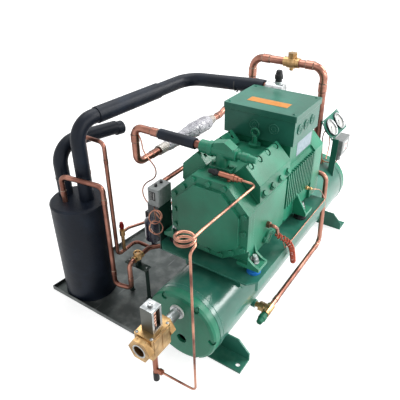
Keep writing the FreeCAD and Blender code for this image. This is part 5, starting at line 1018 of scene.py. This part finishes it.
def loops(centre, radius, turns, startAngle=0.0):
    # stacked loops, each a little different from the last
    where = place(centre, (0.3, -0.75, 0.6))
    stepsPerTurn, pitch, drift = 12, 0.006, 0.004
    spots = []
    for step in range(int(turns * stepsPerTurn) + 1):
        angle = startAngle + 2 * math.pi * step / stepsPerTurn
        own = radius * (1 + 0.1 * math.sin(step * 0.37))
        spots.append(where @ Vector((own * math.cos(angle) + drift * math.sin(step * 0.21),
                                     own * math.sin(angle), pitch * step / stepsPerTurn)))
    return spots


def gaugeLine(y):  # from a gauge's back down behind the post
    return [(0.0268, y, 0.3912), (0.018, y, 0.3842), (0.012, y - 0.008, 0.366), (0.02, y - 0.022, 0.33),
            (0.03, y - 0.036, 0.29), (0.034, min(y - 0.046, 0.45), 0.262)]


tubeChoices = {
    # radius and route of each tube
    "lowPressureTube": (0.00169, [
        (-0.176, -0.362, 0.404), (-0.176, -0.38, 0.402), *loops((-0.158, -0.392, 0.386), 0.019, 1.4),
        *loops((-0.16, -0.388, 0.35), 0.0185, 1.5, 2.0), (-0.19, -0.38, 0.33), (-0.215, -0.352, 0.3),
        (-0.205, -0.33, 0.262), (-0.18, -0.3, 0.235)]),
    "highPressureTube": (0.00195, [
        (-0.28, -0.3, 0.57), (-0.262, -0.31, 0.568), (-0.243, -0.326, 0.556), (-0.238, -0.33, 0.542),
        (-0.22, -0.33, 0.522), (-0.195, -0.33, 0.5), (-0.198, -0.33, 0.468), (-0.238, -0.33, 0.44),
        (-0.254, -0.33, 0.412), (-0.246, -0.332, 0.384), (-0.216, -0.338, 0.372), (-0.188, -0.345, 0.378)]),
    "switchTube": (0.00208, [
        (0.082, 0.437, 0.284), (0.082, 0.437, 0.27), (0.074, 0.43, 0.262), (0.05, 0.42, 0.264),
        (0.03, 0.426, 0.262)]),
    "nearGaugeTube": (0.00221, gaugeLine(0.4435)),
    "farGaugeTube": (0.00221, gaugeLine(0.5235)),
    # from the valve at the motor's foot, then forward along the rail's edge
    "oilTube": (0.0013, [
        (0.138, 0.016, 0.37), (0.146, 0.02, 0.3695), (0.152, 0.045, 0.36), (0.1555, 0.085, 0.315),
        (0.156, 0.104, 0.295), (0.156, 0.1, 0.2925), (0.156, 0.08, 0.2918), (0.156, 0.0, 0.2918),
        (0.156, -0.12, 0.2918), (0.156, -0.196, 0.2918), (0.156, -0.208, 0.2925), (0.1545, -0.21, 0.299),
        (0.151, -0.212, 0.314), (0.1475, -0.217, 0.327)]),
}
nutChoices = (  # place, direction, radius and length of each nut
    ((0.1075, 0.012, 0.37), (1, 0.12, 0), 0.007, 0.03),
    ((0.082, 0.437, 0.277), up, 0.0065, 0.012),
    ((0.03, 0.426, 0.2585), up, 0.0062, 0.01),
)


def addThinTubes():
    for name, (radius, points) in tubeChoices.items():
        addTube(name, radius, points, "copper")
    nuts = []
    for at, aim, radius, length in nutChoices:
        shape = [(0, 0), (radius, 0), (radius, length * 0.5), (radius * 0.75, length * 0.55),
                 (radius * 0.75, length * 0.9), (radius * 0.5, length), (0, length)]
        nuts.append((shape, place(at, aim), 6))
    addPiece("tubeFittings", turned("fittings", *nuts), "brass")


addThinTubes()
print("thin tubes placed")

# Sight glasses, thread tape and pads at the water valve, knock-outs, and the controls' faces

sightChoices = {
    "oilAt": place((0.1186, -0.244, 0.341), across), "oilRadius": 0.0106,
    "liquidAt": place((-0.278, -0.35, 0.1765)), "liquidRadius": 0.0098,
    "oil": [(0, -0.0002), (0.0104, -0.0002), (0.0104, -0.0006), (0, -0.0006)],
    "ring": [(0.0098, 0.0012), (0.0134, 0.0012), (0.0134, 0.0048), (0.0124, 0.0056), (0.0098, 0.005),
             (0.0098, 0.0012)],
}


def addSightGlasses():
    c = sightChoices
    lenses = []
    for radius, where in ((c["oilRadius"], c["oilAt"]), (c["liquidRadius"], c["liquidAt"])):
        dome = [(radius, 0), (radius, radius * 0.14), (radius * 0.7, radius * 0.25), (0, radius * 0.29)]
        lenses.append((dome, where, 40))
    addTurned("sightLenses", "lens", *lenses)
    addTurned("sightRing", "brass", (c["ring"], c["liquidAt"], 40))
    addTurned("sightOil", "oilRed", (c["oil"], c["oilAt"], 40))


addSightGlasses()

waterChoices = {
    "x": -0.007, "lineZ": 0.205, "mouthY": -0.6592, "tapeY": -0.507,
    "mouth": [(0.0162, 0.0012), (0.0162, -0.0006), (0.0196, -0.0006), (0.02, 0.0), (0.0196, 0.0012),
              (0.0162, 0.0012)],
    "tape": [(0.0145, 0.0), (0.0215, 0.0), (0.0218, 0.004), (0.0145, 0.004), (0.0145, 0.0)],
    # raised outlines on the block's right side
    "pads": (((0.0208, -0.635, 0.178), (0.0222, -0.609, 0.232), 0.0006),
             ((0.0208, -0.603, 0.178), (0.0222, -0.575, 0.232), 0.0006)),
    "screwX": (-0.0295, 0.0155), "screwY": (-0.636, -0.574), "screwZ": 0.239,
}


def addWaterDetails():
    c = waterChoices
    rings = [(c["mouth"], place((c["x"], c["mouthY"], c["lineZ"]), along), 56),
             (c["tape"], place((c["x"], c["tapeY"], c["lineZ"]), along), 48)]
    addTurned("threadTape", "white", *rings)
    addBlocks("valvePads", "brass", *c["pads"])
    corners = [((x, y, c["screwZ"]), up) for x in c["screwX"] for y in c["screwY"]]
    scatter("valveScrews", panHead, corners, "zinc")


addWaterDetails()

knockoutChoices = {
    "front": [((x, -0.115, 0.5946), (0, -1, 0)) for x in (0.0488, -0.0109)],
    "side": [((0.11, y, 0.5946), across) for y in (-0.0785, -0.0335, 0.0115)],
    "radii": (0.0068, 0.0138), "half": 0.0007, "crest": 0.0005, "top": 0.0007, "low": -0.0002,
}


def addKnockouts():
    c = knockoutChoices
    rings = []
    for at, aim in c["front"] + c["side"]:
        for radius in c["radii"]:
            inner, outer = radius - c["half"], radius + c["half"]
            shape = [(inner, c["low"]), (radius - c["crest"], c["top"]), (radius + c["crest"], c["top"]),
                     (outer, c["low"]), (inner, c["low"])]
            rings.append((shape, place(at, aim), 40))
    addTurned("knockoutRings", "sheetPaint", *rings)


addKnockouts()

faceChoices = {
    # low corner, high corner and rounding of each box
    "window": ((-0.1868, -0.3758, 0.425), (-0.1665, -0.375, 0.452), 0.0002),
    "cover": ((-0.1924, -0.3754, 0.407), (-0.1556, -0.317, 0.4614), 0.001),
    "scale": ((-0.1855, -0.3761, 0.428), (-0.1785, -0.3758, 0.4286)), "scalePitch": 0.0035, "scaleCount": 7,
    "scaleBar": ((-0.1725, -0.3762, 0.429), (-0.1712, -0.3758, 0.449)),
    "knobs": ((-0.1765, -0.358, 0.461), (-0.1765, -0.334, 0.461)),
    "knob": [(0, 0.007), (0.004, 0.007), (0.0044, 0.006), (0.0044, 0), (0, 0)],
    "switch": ((0.102, 0.43, 0.322), (0.1026, 0.466, 0.36), 0.0003),
    "marks": ((0.1026, 0.434, 0.34), (0.1029, 0.4348, 0.355)), "marksPitch": 0.0052, "marksCount": 6,
    "markBar": ((0.1026, 0.44, 0.326), (0.103, 0.458, 0.331), 0.0001),
}


def repeated(box, step, count):
    # copies of a box, a step apart
    return [[Vector(corner) + Vector(step) * index for corner in box] for index in range(count)]


def addControlFaces():
    c = faceChoices
    addBlocks("controlWindow", "inkBlack", c["window"])
    addPiece("controlCover", smooth(blocks("controlCover", c["cover"]), 30), "greyPlastic")
    lines = repeated(c["scale"], (0, 0, c["scalePitch"]), c["scaleCount"])
    addBlocks("controlScale", "white", *lines, c["scaleBar"])
    knobs = turned("knobs", *((c["knob"], place(at), 8) for at in c["knobs"]))
    addPiece("controlKnobs", knobs, "blackPlastic")
    addBlocks("switchWindow", "white", c["switch"])
    marks = repeated(c["marks"], (0, c["marksPitch"], 0), c["marksCount"])
    addBlocks("switchMarks", "inkRed", *marks, c["markBar"])


addControlFaces()
print("small parts placed")

# The water valve's spring: its mesh merged, smoothed and shown in place of the CAD node


def addSpring():
    work = bmesh.new()
    work.from_mesh(shown["water_valve_spring"].data)
    bmesh.ops.remove_doubles(work, verts=work.verts, dist=1e-6)
    mesh = bpy.data.meshes.new("valveSpring")
    work.to_mesh(mesh)
    work.free()
    spring = addPiece("valveSpring", smooth(mesh, 60), "springWire")
    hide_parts("water_valve_spring")
    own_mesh(spring)


addSpring()

# Cable ties round the foam

tieChoices = {
    "width": 0.0042, "thick": 0.001, "radius": 0.0221, "claspWide": 0.003, "claspDeep": 0.004,
    "places": (((-0.428, -0.391, 0.42), up), ((-0.505, -0.405, 0.41), up),
               ((-0.185, 0.09, 0.6253), (1, 0, 0.064))),
}


def addTies():
    c = tieChoices
    inner, half = c["radius"], c["width"] / 2
    outer = inner + c["thick"]
    wide, tall = c["claspWide"], half * 1.2
    band = [(inner, -half), (outer, -half), (outer, half), (inner, half), (inner, -half)]

    def straps(work):
        for at, aim in c["places"]:
            lathe(work, band, place(at, aim), 48)
            block(work, (inner, -wide, -tall), (inner + c["claspDeep"], wide, tall), 0.0006, place(at, aim))

    addPiece("cableTies", smooth(meshOf("straps", straps)), "blackPlastic")


addTies()
print("ties placed")

# Floor and light

floorChoices = {
    "reach": 20,
    "tones": ((0.52, 0.52, 0.52), (0.55, 0.55, 0.55)),
    "seenNear": (0.74, 0.74, 0.74),  # what the camera sees of its white, under the object
    "seenFar": (1, 1, 1),
    "shadowEnds": (1.0, 2.6),
}


def seenDirectly(tree):  # 1 for what the camera, a reflection or glass sees
    camera, glossy, through = (addNode(tree, "ShaderNodeLightPath", output="Is %s Ray" % kind)
                               for kind in ("Camera", "Glossy", "Transmission"))
    return camera.maths("MAXIMUM", camera.maths("MAXIMUM", camera, glossy), through)


def addFloor():
    c = floorChoices
    corners = [(x * c["reach"], y * c["reach"], 0) for x, y in ((-1, -1), (1, -1), (1, 1), (-1, 1))]
    mesh = bpy.data.meshes.new("floor")
    mesh.from_pydata(corners, [], [(0, 1, 2, 3)])
    floor = bpy.data.objects.new("floor", mesh)
    bpy.context.scene.collection.objects.link(floor)
    made = Finish("paleFloor", roughness=0.7)
    made.set("Base Color", made.mix(made.grain(0.6, 2), *c["tones"]))
    far = made.vector("LENGTH", made.spot).above(*c["shadowEnds"])
    white = made.mix(far, c["seenNear"], c["seenFar"])
    made.set("Emission Color", made.mix(seenDirectly(made.tree), (0, 0, 0), white))
    made.set("Emission Strength", 1.0)
    mesh.materials.append(made.material)


lampChoices = {
    # place, what it shines at, size, power and colour
    "key": ((1.5, 2.0, 2.4), (0, 0, 0.3), 1.3, 78, (1.0, 0.99, 0.97)),
    "side": ((2.5, -0.5, 1.5), (0, 0, 0.3), 1.3, 30, (1.0, 0.99, 0.98)),
    "streak": ((2.35, 1.45, 1.08), (0.08, -0.4, 0.22), 0.8, 34, (1.0, 1.0, 1.0)),  # mirrored in the shell
    "top": ((-0.7, 0.6, 2.8), (0, 0, 0.3), 2.2, 44, (0.97, 0.99, 1.0)),
    "fill": ((-0.6, -2.6, 1.4), (0, 0, 0.3), 2.0, 9, (0.97, 0.98, 1.0)),
}
worldChoices = {"seen": 1.0, "lit": 0.28}  # the backdrop's strength, and what it adds to the light


def addLight():
    for name, (at, aim, size, power, colour) in lampChoices.items():
        lamp = bpy.data.lights.new(name + "Lamp", "AREA")
        lamp.shape = "DISK"
        lamp.size = size
        lamp.energy = power
        lamp.color = colour
        holder = bpy.data.objects.new(name + "Lamp", lamp)
        turn = Vector((0, 0, -1)).rotation_difference(Vector(aim) - Vector(at))
        holder.matrix_world = Matrix.Translation(at) @ turn.to_matrix().to_4x4()
        bpy.context.scene.collection.objects.link(holder)
    world = bpy.data.worlds.new("studio")
    bpy.context.scene.world = world
    world.use_nodes = True
    tree = world.node_tree
    back = tree.nodes["Background"]
    back.inputs["Color"].default_value = (1, 1, 1, 1)
    strength = seenDirectly(tree) * (worldChoices["seen"] - worldChoices["lit"]) + worldChoices["lit"]
    tree.links.new(strength.socket, back.inputs["Strength"])
    bpy.context.scene.view_settings.view_transform = "Standard"


addFloor()
addLight()
print("floor and light placed")
